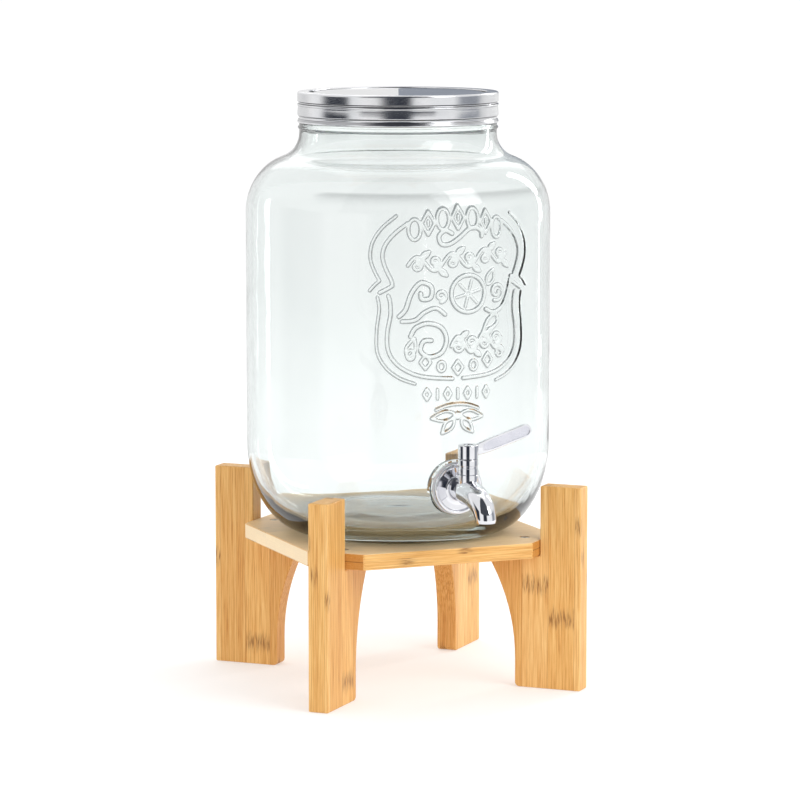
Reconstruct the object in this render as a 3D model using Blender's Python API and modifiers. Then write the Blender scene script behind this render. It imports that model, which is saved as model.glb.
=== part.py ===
"""Glass drink dispenser: jar, screw lid and lever tap on a bamboo stand.

The stand is a board on four radial legs.  The jar stands on the board between
the four posts, its tap points to -Y over the edge of the stand, and its lid is
a screw band over a loose disc and a gasket.  Metres, +Z up.  The origin is on
the floor under the middle of the whole object's box, so the jar's own axis lies
at y = JAR_Y.  Radii and heights are named after the piece that owns them, and
what seats on a piece takes its place from that piece.
"""
from math import acos, atan2, cos, pi, radians, sin, sqrt, tan

import bmesh
import bpy
from mathutils import Vector

# ---- fits ------------------------------------------------------------------
GAP = 0.0003              # between faces that touch
RUNNING = 0.0003          # radial, round a piece that turns
SCREW_CLEARANCE = 0.0004  # radial, round a screw's shank
THREAD_CLEARANCE = 0.0012  # radial, between the neck's finish and the lid band
DISC_CLEARANCE = 0.0010   # radial, round the lid's disc and gasket inside the band
DRIVE_CLEARANCE = 0.0003  # round the valve plug's square drive

# ---- stand -----------------------------------------------------------------
POST_HEIGHT = 0.0391      # of the upright above the board
POST_WIDTH = 0.0310
POST_CLEARANCE = 0.0035   # between the jar and the posts
LEG_THICKNESS = 0.0150
FOOT_WIDTH = 0.0500
LEDGE_LENGTH = 0.0405     # from the post inward, under the board
ARCH_RADIUS = 0.1400      # of the hollow below the ledge
LEDGE_TIP = 0.0020        # thickness of the ledge at its tip
TOE_R = 0.0030            # rounding of the foot's inner corner
BOARD_TOP = 0.1085
BOARD_THICKNESS = 0.0115
BOARD_INSET = 0.0145      # of the board's long sides, inside the jar's widest part
WOOD_EDGE = 0.0009        # rounding of every wooden edge
LEG_NAMES = {"front_right": -45, "back_right": 45, "back_left": 135, "front_left": -135}

LEG_SCREW_INSET = 0.0145  # from the post inward
LEG_SCREW_HEAD_R = 0.0034
LEG_SCREW_HEAD_H = 0.0024
LEG_SCREW_R = 0.0015
LEG_SCREW_LENGTH = 0.0300
SCREW_SLOT = 0.0008       # width of a cross recess

# ---- jar -------------------------------------------------------------------
JAR_R = 0.1100
JAR_HEIGHT = 0.3145       # foot to mouth
JAR_WALL = 0.0045
JAR_FLOOR = 0.0090        # glass under the drink
FOOT_RING = 0.0040        # width of the ring that the jar stands on
PUNT_RISE = 0.0035
HEEL_WIDTH = 0.0420       # of the heel's curve, from the foot out to the wall
HEEL_HEIGHT = 0.0660
SHOULDER_DROP = 0.0405    # from the mouth to the top of the shoulder's curve
SHOULDER_RISE = 0.0420
SHOULDER_END = radians(72)  # angle on the shoulder's curve where the neck's fillet starts
NECK_R = 0.0713
FINISH_STEP = 0.0019      # from the neck in to the threaded finish under the lid
FINISH_HEIGHT = 0.0180
FINISH_WALL = 0.0039
LIP = 0.0012              # rounding of the mouth

# ---- tap, measured outward from the jar's axis unless it says a height -------
TAP_HEIGHT = 0.0455       # above the board
PAD_INSET = 0.0003        # of the flat for the outer gasket, into the glass
PAD_THICKNESS = 0.0070
PAD_R = 0.0195
SHANK_R = 0.0060
SHANK_BORE_R = 0.0035
GASKET_R = 0.0187
GASKET_THICKNESS = 0.0022
INNER_GASKET_R = 0.0150
WASHER_R = 0.0135
WASHER_THICKNESS = 0.0012
NUT_ACROSS_FLATS = 0.0210
NUT_THICKNESS = 0.0077
SHANK_PAST_NUT = 0.0028
FLANGE_R = 0.0178
FLANGE_THICKNESS = 0.0030
FLANGE_RIM = 0.0022       # width of the flange's raised rim
BARREL_R = 0.0078
BARREL_LENGTH = 0.0156    # flange's face to the valve's axis
SPOUT_REACH = 0.0310      # valve axis to the outlet
SPOUT_DROP = 0.0170
SPOUT_ROOT_R = 0.0095
SPOUT_END_R = 0.0070
SPOUT_BORE_R = 0.0045
SPOUT_STEPS = 12

# ---- valve, heights above the tap's axis -----------------------------------
CHAMBER_R = 0.0053
CHAMBER_FLOOR = -0.0063
TOWER_R = 0.0071
TOWER_TOP = 0.0125
BONNET_SEAT = 0.0038      # depth of the bonnet's spigot in the chamber
BONNET_TOP = 0.0233
HUB_TOP = 0.0335
STEM_R = 0.0032
DRIVE_SIDE = 0.0046
DRIVE_HEIGHT = 0.0062
PLUG_BORE_R = 0.0024
O_RING_SECTION = 0.0006   # radius of the ring's own section
O_RING_SQUEEZE = 0.0002   # left between the ring and the chamber
O_RING_OFFSET = 0.0040    # above and below the plug's bore
LEVER_LENGTH = 0.0475     # valve axis to the tip
LEVER_RISE = radians(17.6)
LEVER_HEIGHT = 0.0093
LEVER_ROOT_HEIGHT = 0.0062
LEVER_THICKNESS = 0.0032
LEVER_BORDER = 0.0013
LEVER_RECESS = 0.0005
LEVER_FLARE = 0.0200      # from the valve axis, where the blade reaches full height
LEVER_SCREW_HEAD_R = 0.0028
LEVER_SCREW_HEAD_H = 0.0012
LEVER_SCREW_R = 0.0012
LEVER_SCREW_LENGTH = 0.0085
HUB_WEB = 0.0014          # between the drive's socket and the screw's recess

# ---- lid -------------------------------------------------------------------
SHEET = 0.0008            # of the band and the disc
BAND_HEIGHT = 0.0225
BAND_EDGE = 0.0016        # rounding at the top
BAND_GROOVE = 0.0011      # depth of the two rolled grooves
UPPER_GROOVE = 0.0087     # below the top
LOWER_GROOVE = 0.0185
BAND_BEAD_R = 0.0011
RIM_WIDTH = 0.0085        # of the band's flat top
LID_GASKET_THICKNESS = 0.0016
LID_GASKET_WIDTH = 0.0075
PRESSED_RING = 0.0012     # height of the ring pressed in the disc

SIDES = 48                # of everything turned at the jar's size
TAP_SIDES = 32

LEG_REACH = JAR_R + POST_CLEARANCE + POST_WIDTH  # jar axis to a leg's outer edge
LEG_HEIGHT = BOARD_TOP + POST_HEIGHT
BOARD_HALF = JAR_R - BOARD_INSET
LEG_SCREW_REACH = JAR_R + POST_CLEARANCE - LEG_SCREW_INSET
HEEL_R = JAR_R - HEEL_WIDTH
PUNT_R = HEEL_R - FOOT_RING
SHOULDER_TOP = JAR_HEIGHT - SHOULDER_DROP
FINISH_R = NECK_R - FINISH_STEP
MOUTH_R = FINISH_R - FINISH_WALL
BAND_R = FINISH_R + THREAD_CLEARANCE + SHEET + BAND_GROOVE
PAD_FACE = HEEL_R + HEEL_WIDTH * sqrt(1 - (1 - TAP_HEIGHT / HEEL_HEIGHT) ** 2) - PAD_INSET
VALVE_REACH = PAD_FACE + GASKET_THICKNESS + 2 * GAP + FLANGE_THICKNESS + BARREL_LENGTH
TAP_Z = BOARD_TOP + TAP_HEIGHT
SPOUT_TIP = VALVE_REACH + SPOUT_REACH + SPOUT_END_R
JAR_Y = (SPOUT_TIP - JAR_R) / 2
MOUTH_Z = BOARD_TOP + GAP + JAR_HEIGHT
JAR_AXIS = (0.0, JAR_Y)
VALVE_AXIS = (0.0, JAR_Y - VALVE_REACH)
FACING_OUT = (radians(90), 0, 0)  # turns a piece's own +Z to the tap's outward direction
OFF_SEAM = (radians(90), pi / TAP_SIDES, 0)  # the same, its facets off the jar's own seams


# ---- materials -------------------------------------------------------------
def material(name, colour, roughness, metallic=0.0, transmission=0.0):
    made = bpy.data.materials.new(name)
    made.use_nodes = True
    shader = made.node_tree.nodes["Principled BSDF"]
    shader.inputs["Base Color"].default_value = (*colour, 1)
    shader.inputs["Roughness"].default_value = roughness
    shader.inputs["Metallic"].default_value = metallic
    shader.inputs["Transmission Weight"].default_value = transmission
    return made


def make_materials():
    return {
        "bamboo": material("bamboo", (0.78, 0.50, 0.22), 0.45),
        "screw_steel": material("screw_steel", (0.55, 0.50, 0.42), 0.35, 1.0),
        "clear_glass": material("clear_glass", (0.95, 0.98, 0.98), 0.03, 0.0, 1.0),
        "chrome": material("chrome", (0.80, 0.80, 0.82), 0.06, 1.0),
        "grey_silicone": material("grey_silicone", (0.55, 0.56, 0.58), 0.40),
        "clear_silicone": material("clear_silicone", (0.85, 0.86, 0.86), 0.35),
        "white_nylon": material("white_nylon", (0.80, 0.80, 0.78), 0.40),
        "black_rubber": material("black_rubber", (0.03, 0.03, 0.03), 0.55),
        "lid_steel": material("lid_steel", (0.72, 0.73, 0.75), 0.22, 1.0),
    }


# ---- scene helpers ---------------------------------------------------------
def collection(name):
    made = bpy.data.collections.new(name)
    bpy.context.scene.collection.children.link(made)
    return made


def hide(thing):
    """Make a solid a tool that shapes other solids and isn't a piece itself."""
    thing.hide_render = True
    thing.display_type = "WIRE"
    return thing


def shade(mesh):
    mesh.shade_smooth()
    mesh.set_sharp_from_angle(angle=radians(35))


def boolean(target, tool, operation):
    change = target.modifiers.new(operation.lower(), "BOOLEAN")
    change.operation = operation
    change.object = tool
    change.solver = "EXACT"


def cut(target, *tools):
    for tool in tools:
        boolean(target, tool, "DIFFERENCE")


def join(target, *tools):
    for tool in tools:
        boolean(target, tool, "UNION")


def bevel(target, width, segments=2, angle=35):
    change = target.modifiers.new("edges", "BEVEL")
    change.width = width
    change.segments = segments
    change.limit_method = "ANGLE"
    change.angle_limit = radians(angle)
    change.use_clamp_overlap = True


def place(thing, group, look, location, rotation=(0, 0, 0)):
    group.objects.link(thing)
    thing.location = location
    thing.rotation_euler = rotation
    if look is not None:
        thing.data.materials.append(look)
    return thing


# ---- shapes ----------------------------------------------------------------
def arc(centre_r, centre_z, radius_r, radius_z, start, end, steps):
    """Points on part of an ellipse, from one angle to another, both included."""
    angles = [start + (end - start) * i / steps for i in range(steps + 1)]
    return [(centre_r + radius_r * cos(a), centre_z + radius_z * sin(a)) for a in angles]


def turned(name, profile, sides=SIDES, closed=True):
    """A profile of (radius, height) points turned about +Z.

    A closed profile is a ring's section.  An open one starts and ends on the
    axis.  Either way it runs down the outer side.
    """
    mesh = bpy.data.meshes.new(name)
    points = [(radius, 0.0, height) for radius, height in profile]
    edges = [(i, i + 1) for i in range(len(points) - 1)]
    if closed:
        edges.append((len(points) - 1, 0))
    mesh.from_pydata(points, edges, [])
    thing = bpy.data.objects.new(name, mesh)
    spin = thing.modifiers.new("turn", "SCREW")
    spin.axis = "Z"
    spin.angle = 2 * pi
    spin.steps = spin.render_steps = sides
    spin.use_merge_vertices = True
    spin.merge_threshold = 1e-6
    spin.use_smooth_shade = True
    return thing


def washer(name, inner, outer, bottom, top, sides=SIDES, edge=0.0):
    """A flat ring, with its outer edges rounded by one small chamfer."""
    profile = [(inner, top), (outer - edge, top), (outer, top - edge),
               (outer, bottom + edge), (outer - edge, bottom), (inner, bottom)]
    if edge == 0:
        profile = [(inner, top), (outer, top), (outer, bottom), (inner, bottom)]
    return turned(name, profile, sides)


def rod(name, radius, bottom, top, sides=TAP_SIDES):
    return turned(name, [(0, top), (radius, top), (radius, bottom), (0, bottom)], sides, False)


def flat(name, outline, thickness):
    """A closed outline in the XY plane as a plate centred on that plane."""
    curve = bpy.data.curves.new(name + "_outline", "CURVE")
    curve.dimensions = "2D"
    curve.fill_mode = "BOTH"
    curve.extrude = thickness / 2
    spline = curve.splines.new("POLY")
    spline.points.add(len(outline) - 1)
    for point, (x, y) in zip(spline.points, outline):
        point.co = (x, y, 0, 1)
    spline.use_cyclic_u = True
    return as_mesh(name, curve, radians(0.5))


def as_mesh(name, curve, flatness=0.0):
    """The closed mesh of a curve, its loose caps welded on and flat faces merged."""
    guide = bpy.data.objects.new(name + "_guide", curve)
    bpy.context.scene.collection.objects.link(guide)
    seen = guide.evaluated_get(bpy.context.evaluated_depsgraph_get())
    mesh = bpy.data.meshes.new_from_object(seen)
    mesh.name = name
    bpy.data.objects.remove(guide)
    bpy.data.curves.remove(curve)
    work = bmesh.new()
    work.from_mesh(mesh)
    bmesh.ops.remove_doubles(work, verts=work.verts, dist=1e-6)
    if flatness:
        bmesh.ops.dissolve_limit(work, angle_limit=flatness, verts=work.verts, edges=work.edges)
    bmesh.ops.recalc_face_normals(work, faces=work.faces)
    work.to_mesh(mesh)
    work.free()
    return bpy.data.objects.new(name, mesh)


def block(name, size):
    mesh = bpy.data.meshes.new(name)
    work = bmesh.new()
    bmesh.ops.create_cube(work, size=1.0)
    bmesh.ops.scale(work, vec=Vector(size), verts=work.verts)
    work.to_mesh(mesh)
    work.free()
    return bpy.data.objects.new(name, mesh)


def prism(name, across_flats, bottom, top, corners):
    """A regular bar along +Z with a flat facing +X."""
    mesh = bpy.data.meshes.new(name)
    work = bmesh.new()
    radius = across_flats / 2 / cos(pi / corners)
    bmesh.ops.create_cone(work, cap_ends=True, segments=corners, radius1=radius,
                          radius2=radius, depth=top - bottom)
    bmesh.ops.translate(work, vec=(0, 0, (top + bottom) / 2), verts=work.verts)
    work.to_mesh(mesh)
    work.free()
    thing = bpy.data.objects.new(name, mesh)
    return thing


def swept(name, path, radii):
    """A round bar along a path of points, its radius set at each."""
    curve = bpy.data.curves.new(name + "_path", "CURVE")
    curve.dimensions = "3D"
    curve.bevel_depth = 1.0
    curve.bevel_resolution = 6
    curve.use_fill_caps = True
    spline = curve.splines.new("POLY")
    spline.points.add(len(path) - 1)
    for point, (x, y, z), radius in zip(spline.points, path, radii):
        point.co = (x, y, z, 1)
        point.radius = radius
    return as_mesh(name, curve)


# ---- stand -----------------------------------------------------------------
def leg_outline():
    """One leg seen from the side: x runs outward from the jar's axis, y up."""
    post = LEG_REACH - POST_WIDTH
    foot = LEG_REACH - FOOT_WIDTH
    ledge = BOARD_TOP - BOARD_THICKNESS - GAP
    tip = post - LEDGE_LENGTH
    sweep = acos(1 - (foot - tip) / ARCH_RADIUS)
    arch_start = ledge - LEDGE_TIP - ARCH_RADIUS * sin(sweep)
    arch = arc(foot - ARCH_RADIUS, arch_start, ARCH_RADIUS, ARCH_RADIUS, sweep, 0, 10)
    toe = arc(foot + TOE_R, TOE_R, TOE_R, TOE_R, radians(180), radians(270), 3)
    return [(LEG_REACH, 0), (LEG_REACH, LEG_HEIGHT), (post, LEG_HEIGHT), (post, ledge),
            (tip, ledge)] + arch + toe


def on_diagonal(reach, angle, height):
    """A point that far from the jar's axis, in the direction of a leg."""
    return (reach * cos(angle), JAR_Y + reach * sin(angle), height)


def make_leg(name, angle, group, tools, look):
    leg = flat("leg_" + name, leg_outline(), LEG_THICKNESS)
    place(leg, group, look, (0, JAR_Y, 0), (radians(90), 0, angle))
    bevel(leg, WOOD_EDGE)
    hole = hide(rod("pilot_" + name, LEG_SCREW_R + SCREW_CLEARANCE,
                    BOARD_TOP - LEG_SCREW_LENGTH - SCREW_CLEARANCE, BOARD_TOP, 16))
    place(hole, tools, None, on_diagonal(LEG_SCREW_REACH, angle, 0))
    cut(leg, hole)


def board_outline():
    """A square whose corners are cut square to the posts that they meet."""
    corner = LEG_REACH - POST_WIDTH - GAP
    half_edge = corner * sqrt(2) - BOARD_HALF
    points = []
    for quarter in range(4):
        turn = quarter * pi / 2
        for x, y in ((BOARD_HALF, -half_edge), (BOARD_HALF, half_edge)):
            points.append((x * cos(turn) - y * sin(turn), x * sin(turn) + y * cos(turn)))
    return points


def make_board(group, tools, look):
    board = flat("stand_board", board_outline(), BOARD_THICKNESS)
    place(board, group, look, (0, JAR_Y, BOARD_TOP - BOARD_THICKNESS / 2))
    bevel(board, WOOD_EDGE)
    head = LEG_SCREW_HEAD_R + SCREW_CLEARANCE
    shank = LEG_SCREW_R + SCREW_CLEARANCE
    seat = BOARD_TOP - LEG_SCREW_HEAD_H - GAP
    for name, degrees in LEG_NAMES.items():
        profile = [(0, BOARD_TOP + GAP), (head, BOARD_TOP + GAP), (head, BOARD_TOP - GAP),
                   (shank, seat), (shank, BOARD_TOP - 2 * BOARD_THICKNESS),
                   (0, BOARD_TOP - 2 * BOARD_THICKNESS)]
        hole = hide(turned("countersink_" + name, profile, 24, False))
        place(hole, tools, None, on_diagonal(LEG_SCREW_REACH, radians(degrees), 0))
        cut(board, hole)


def cross_recess(name, width, depth, size, tools, location):
    """Two crossed bars that cut the driver's recess in a screw's head."""
    bars = []
    for turn in (0, radians(90)):
        bar = hide(block(name + ("_along" if turn else "_across"), (size, width, depth * 2)))
        place(bar, tools, None, location, (0, 0, turn))
        bars.append(bar)
    return bars


def make_leg_screw(name, angle, group, tools, look):
    top = -GAP
    under_head = top - LEG_SCREW_HEAD_H
    tip = -LEG_SCREW_LENGTH
    profile = [(0, top), (LEG_SCREW_HEAD_R, top), (LEG_SCREW_R, under_head),
               (LEG_SCREW_R, tip + 2 * LEG_SCREW_R), (0, tip)]
    where = on_diagonal(LEG_SCREW_REACH, angle, BOARD_TOP)
    screw = place(turned("leg_screw_" + name, profile, 24, False), group, look, where)
    cut(screw, *cross_recess("leg_recess_" + name, SCREW_SLOT, LEG_SCREW_HEAD_H / 2 + GAP,
                             LEG_SCREW_HEAD_R, tools, where))


# ---- jar -------------------------------------------------------------------
def jar_profile():
    """The jar's section, from the middle of its floor to the middle of its foot."""
    inner_neck = NECK_R - JAR_WALL - LIP
    inside = [(0, JAR_FLOOR + PUNT_RISE), (PUNT_R / 2, JAR_FLOOR + PUNT_RISE * 0.75)]
    inside += arc(HEEL_R, HEEL_HEIGHT, JAR_R - JAR_WALL - HEEL_R, HEEL_HEIGHT - JAR_FLOOR,
                  radians(-90), 0, 6)
    shoulder = SHOULDER_TOP - SHOULDER_RISE
    inside += shoulder_and_neck(shoulder, JAR_R - JAR_WALL, SHOULDER_RISE - JAR_WALL,
                                inner_neck, 4, 3)
    inside += [(MOUTH_R, JAR_HEIGHT - FINISH_HEIGHT)]
    mouth = arc(MOUTH_R + LIP, JAR_HEIGHT - LIP, LIP, LIP, radians(180), radians(90), 2)
    mouth += arc(FINISH_R - LIP, JAR_HEIGHT - LIP, LIP, LIP, radians(90), 0, 2)
    outside = shoulder_and_neck(shoulder, JAR_R, SHOULDER_RISE, NECK_R, 6, 4)
    outside += [(NECK_R, JAR_HEIGHT - FINISH_HEIGHT - 2 * LIP), (FINISH_R, JAR_HEIGHT - FINISH_HEIGHT)]
    heel = arc(HEEL_R, HEEL_HEIGHT, HEEL_WIDTH, HEEL_HEIGHT, 0, radians(-90), 8)
    foot = [(PUNT_R, PUNT_RISE / 4), (PUNT_R * 0.85, PUNT_RISE), (0, PUNT_RISE * 1.5)]
    return inside + mouth + outside[::-1] + heel + foot


def shoulder_and_neck(shoulder, wall_r, rise, neck_r, shoulder_steps, fillet_steps):
    """The shoulder's curve, then the hollow fillet that turns it up into the neck."""
    across = wall_r - NECK_R
    curve = arc(NECK_R, shoulder, across, rise, 0, SHOULDER_END, shoulder_steps)
    end_r, end_z = curve[-1]
    slope = atan2(across * sin(SHOULDER_END), rise * cos(SHOULDER_END))
    radius = (end_r - neck_r) / (1 - cos(slope))
    centre_z = end_z + radius * sin(slope)
    fillet = arc(neck_r + radius, centre_z, radius, radius,
                 pi + slope, pi, fillet_steps)
    return curve + fillet[1:]


def make_jar(group, tools, look):
    jar = place(turned("glass_jar", jar_profile(), SIDES, False), group, look,
                (*JAR_AXIS, BOARD_TOP + GAP))
    tap = (*JAR_AXIS, TAP_Z)
    inner_face = PAD_FACE - PAD_THICKNESS
    pad = hide(rod("tap_pad", PAD_R, inner_face, PAD_FACE + GAP))
    outer_spot = PAD_R + GAP
    inner_spot = PAD_R - JAR_WALL / 2
    bore = SHANK_R + SCREW_CLEARANCE
    opening = hide(turned("tap_opening", [
        (0, PAD_FACE + PAD_THICKNESS), (outer_spot, PAD_FACE + PAD_THICKNESS),
        (outer_spot, PAD_FACE), (bore, PAD_FACE), (bore, inner_face), (inner_spot, inner_face),
        (inner_spot, inner_face - PAD_THICKNESS), (0, inner_face - PAD_THICKNESS)],
        TAP_SIDES, False))
    for tool in (pad, opening):
        place(tool, tools, None, tap, OFF_SEAM)
    join(jar, pad)
    cut(jar, opening)


# ---- tap -------------------------------------------------------------------
def spout_path(past=0.0):
    """From the valve out and down to the outlet, a quarter of an ellipse."""
    path = []
    for reach, height in arc(0, -SPOUT_DROP, SPOUT_REACH, SPOUT_DROP, radians(90), 0, SPOUT_STEPS):
        path.append((0, -reach, height))
    path[-1] = (0, -SPOUT_REACH, -SPOUT_DROP - past)
    return path


def tap_layout():
    """How far out each piece on the tap's shank starts, from the inside out."""
    inner_face = PAD_FACE - PAD_THICKNESS
    gasket = inner_face - GAP - GASKET_THICKNESS
    plate = gasket - GAP - WASHER_THICKNESS
    nut = plate - GAP - NUT_THICKNESS
    outer_gasket = PAD_FACE + GAP
    flange = outer_gasket + GASKET_THICKNESS + GAP
    return {"gasket": gasket, "washer": plate, "nut": nut, "end": nut - SHANK_PAST_NUT,
            "outer_gasket": outer_gasket, "flange": flange}


def make_tap(group, tools, looks):
    layout = tap_layout()
    tap = (*JAR_AXIS, TAP_Z)
    around_shank = SHANK_R + SCREW_CLEARANCE
    back = layout["flange"]
    front = back + FLANGE_THICKNESS
    dish = back + FLANGE_THICKNESS / 2
    edge = FLANGE_RIM / 3
    profile = [(0, VALVE_REACH + TOWER_R / 2), (SPOUT_ROOT_R - GAP, VALVE_REACH + TOWER_R / 2),
               (SPOUT_ROOT_R - GAP, VALVE_REACH - TOWER_R / 4), (BARREL_R, dish + 2 * FLANGE_RIM),
               (BARREL_R, dish + FLANGE_RIM / 2), (BARREL_R + FLANGE_RIM / 2, dish),
               (FLANGE_R - FLANGE_RIM, front - edge), (FLANGE_R - FLANGE_RIM + edge, front),
               (FLANGE_R - edge, front), (FLANGE_R, front - edge), (FLANGE_R, back),
               (SHANK_R, back), (SHANK_R, layout["end"] + edge), (SHANK_R - edge, layout["end"]),
               (SHANK_BORE_R, layout["end"]), (SHANK_BORE_R, VALVE_REACH - CHAMBER_R / 2),
               (0, VALVE_REACH - CHAMBER_R / 2)]
    body = place(turned("tap_body", profile, TAP_SIDES, False), group, looks["chrome"],
                 tap, FACING_OUT)
    valve = (*VALVE_AXIS, TAP_Z)
    taper = [SPOUT_ROOT_R + (SPOUT_END_R - SPOUT_ROOT_R) * i / SPOUT_STEPS
             for i in range(SPOUT_STEPS + 1)]
    spout = hide(swept("spout", spout_path(), taper))
    place(spout, tools, None, valve)
    tower = hide(rod("tower", TOWER_R, SHANK_BORE_R + TOWER_R - CHAMBER_R, TOWER_TOP))
    place(tower, tools, None, valve)
    chamber = hide(rod("chamber", CHAMBER_R, CHAMBER_FLOOR, TOWER_TOP + TOWER_R))
    place(chamber, tools, None, valve)
    outlet = hide(swept("outlet", spout_path(SPOUT_END_R), [SPOUT_BORE_R] * (SPOUT_STEPS + 1)))
    place(outlet, tools, None, valve)
    join(body, spout, tower)
    join(chamber, outlet)
    cut(body, chamber)

    for name, start, outer, look in (
            ("outer_gasket", layout["outer_gasket"], GASKET_R, "grey_silicone"),
            ("inner_gasket", layout["gasket"], INNER_GASKET_R, "grey_silicone")):
        ring = washer(name, around_shank, outer, start, start + GASKET_THICKNESS, TAP_SIDES)
        place(ring, group, looks[look], tap, FACING_OUT)
    plate = washer("shank_washer", around_shank, WASHER_R, layout["washer"],
                   layout["washer"] + WASHER_THICKNESS, TAP_SIDES)
    place(plate, group, looks["white_nylon"], tap, FACING_OUT)
    nut = prism("lock_nut", NUT_ACROSS_FLATS, layout["nut"], layout["nut"] + NUT_THICKNESS, 6)
    place(nut, group, looks["white_nylon"], tap, FACING_OUT)
    bevel(nut, WOOD_EDGE / 2, 1)
    thread = hide(rod("nut_bore", around_shank, layout["nut"] - SHANK_R, layout["washer"] + SHANK_R))
    place(thread, tools, None, tap, FACING_OUT)
    cut(nut, thread)


# ---- valve -----------------------------------------------------------------
def valve_heights():
    """Heights above the tap's axis that the valve's pieces share."""
    seat = TOWER_TOP - BONNET_SEAT
    hub = BONNET_TOP + GAP
    drive_top = hub + DRIVE_HEIGHT
    web = drive_top + GAP
    return {"seat": seat, "hub": hub, "drive_top": drive_top, "web": web,
            "head": web + HUB_WEB + GAP}


def o_ring_radius():
    return CHAMBER_R - O_RING_SQUEEZE - O_RING_SECTION


def make_bonnet(group, look):
    bore = STEM_R + RUNNING
    seat = TOWER_TOP - BONNET_SEAT
    edge = TOWER_R / 12
    bottom = TOWER_TOP + GAP
    profile = [(bore, BONNET_TOP), (TOWER_R - edge, BONNET_TOP), (TOWER_R, BONNET_TOP - edge),
               (TOWER_R, bottom), (CHAMBER_R - GAP, bottom), (CHAMBER_R - GAP, seat), (bore, seat)]
    place(turned("valve_bonnet", profile, TAP_SIDES), group, look, (*VALVE_AXIS, TAP_Z))


def make_plug(group, tools, look):
    heights = valve_heights()
    radius = CHAMBER_R - RUNNING
    groove = o_ring_radius() - O_RING_SECTION - O_RING_SQUEEZE / 2
    half = O_RING_SECTION + GAP
    top = heights["seat"] - GAP
    bottom = CHAMBER_FLOOR + GAP
    profile = [(0, heights["hub"]), (STEM_R, heights["hub"]), (STEM_R, top), (radius, top)]
    for height in (O_RING_OFFSET, -O_RING_OFFSET):
        profile += [(radius, height + half), (groove, height + half),
                    (groove, height - half), (radius, height - half)]
    profile += [(radius, bottom), (0, bottom)]
    valve = (*VALVE_AXIS, TAP_Z)
    plug = place(turned("valve_plug", profile, TAP_SIDES, False), group, look, valve)
    drive = hide(prism("plug_drive", DRIVE_SIDE, heights["hub"] - STEM_R, heights["drive_top"], 4))
    place(drive, tools, None, valve)
    port = hide(rod("plug_port", PLUG_BORE_R, -2 * CHAMBER_R, 2 * CHAMBER_R, 24))
    place(port, tools, None, valve, (0, radians(90), 0))
    tapped = hide(rod("plug_tapping", LEVER_SCREW_R + SCREW_CLEARANCE,
                      heights["head"] - LEVER_SCREW_LENGTH - GAP, heights["head"], 16))
    place(tapped, tools, None, valve)
    join(plug, drive)
    cut(plug, port, tapped)


def make_o_rings(group, look):
    for name, height in (("upper_o_ring", O_RING_OFFSET), ("lower_o_ring", -O_RING_OFFSET)):
        section = arc(o_ring_radius(), 0, O_RING_SECTION, O_RING_SECTION, 2 * pi, 0, 8)[:-1]
        place(turned(name, section, TAP_SIDES), group, look, (*VALVE_AXIS, TAP_Z + height))


def blade_outline(inset=0.0):
    """The lever's blade along its own rise: x along it, y across it."""
    half = LEVER_HEIGHT / 2 - inset
    end = LEVER_LENGTH / cos(LEVER_RISE) - LEVER_HEIGHT / 2
    root = TOWER_R / 2 + inset * 6
    root_half = LEVER_ROOT_HEIGHT / 2 - inset
    flare = LEVER_FLARE + inset
    upper = [(flare - (flare - root) * i / 6, half - (half - root_half) * (i / 6) ** 2)
             for i in range(7)]
    tip = arc(end, 0, half, half, radians(-90), radians(90), 12)
    return tip + upper + [(x, -y) for x, y in upper[::-1]]


def make_lever(group, tools, looks):
    heights = valve_heights()
    edge = TOWER_R / 10
    valve = (*VALVE_AXIS, TAP_Z)
    hub = [(0, HUB_TOP), (TOWER_R - 2 * edge, HUB_TOP), (TOWER_R, HUB_TOP - edge),
           (TOWER_R, heights["hub"] + edge / 2), (TOWER_R - edge / 2, heights["hub"]),
           (0, heights["hub"])]
    lever = place(turned("lever", hub, TAP_SIDES, False), group, looks["chrome"], valve)
    middle = (heights["hub"] + HUB_TOP) / 2
    tilt = (radians(90), -LEVER_RISE, 0)
    blade = hide(flat("blade", blade_outline(), LEVER_THICKNESS))
    root = (VALVE_AXIS[0], VALVE_AXIS[1], TAP_Z + middle - TOWER_R * tan(LEVER_RISE) / 2)
    place(blade, tools, None, root, tilt)
    bevel(blade, LEVER_RECESS)
    join(lever, blade)
    for name, side in (("front_panel", -1), ("back_panel", 1)):
        panel = hide(flat(name, blade_outline(LEVER_BORDER), 2 * LEVER_RECESS))
        place(panel, tools, None, (root[0], root[1] + side * LEVER_THICKNESS / 2, root[2]), tilt)
        cut(lever, panel)
    socket = hide(prism("drive_socket", DRIVE_SIDE + 2 * DRIVE_CLEARANCE, 0, heights["web"], 4))
    shank = hide(rod("hub_hole", LEVER_SCREW_R + SCREW_CLEARANCE, 0, 2 * HUB_TOP, 16))
    head = hide(rod("hub_recess", LEVER_SCREW_HEAD_R + SCREW_CLEARANCE,
                    heights["web"] + HUB_WEB, 2 * HUB_TOP, 24))
    for tool in (socket, shank, head):
        place(tool, tools, None, valve)
    cut(lever, socket, shank, head)

    under = heights["head"]
    top = under + LEVER_SCREW_HEAD_H
    screw = turned("lever_screw", [(0, top), (LEVER_SCREW_HEAD_R - edge / 2, top),
                                   (LEVER_SCREW_HEAD_R, top - edge / 2),
                                   (LEVER_SCREW_HEAD_R, under), (LEVER_SCREW_R, under),
                                   (LEVER_SCREW_R, under - LEVER_SCREW_LENGTH),
                                   (0, under - LEVER_SCREW_LENGTH)], 24, False)
    place(screw, group, looks["chrome"], valve)
    cut(screw, *cross_recess("lever_recess", SCREW_SLOT, LEVER_SCREW_HEAD_H / 2,
                             LEVER_SCREW_HEAD_R, tools, (*VALVE_AXIS, TAP_Z + top)))


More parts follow.
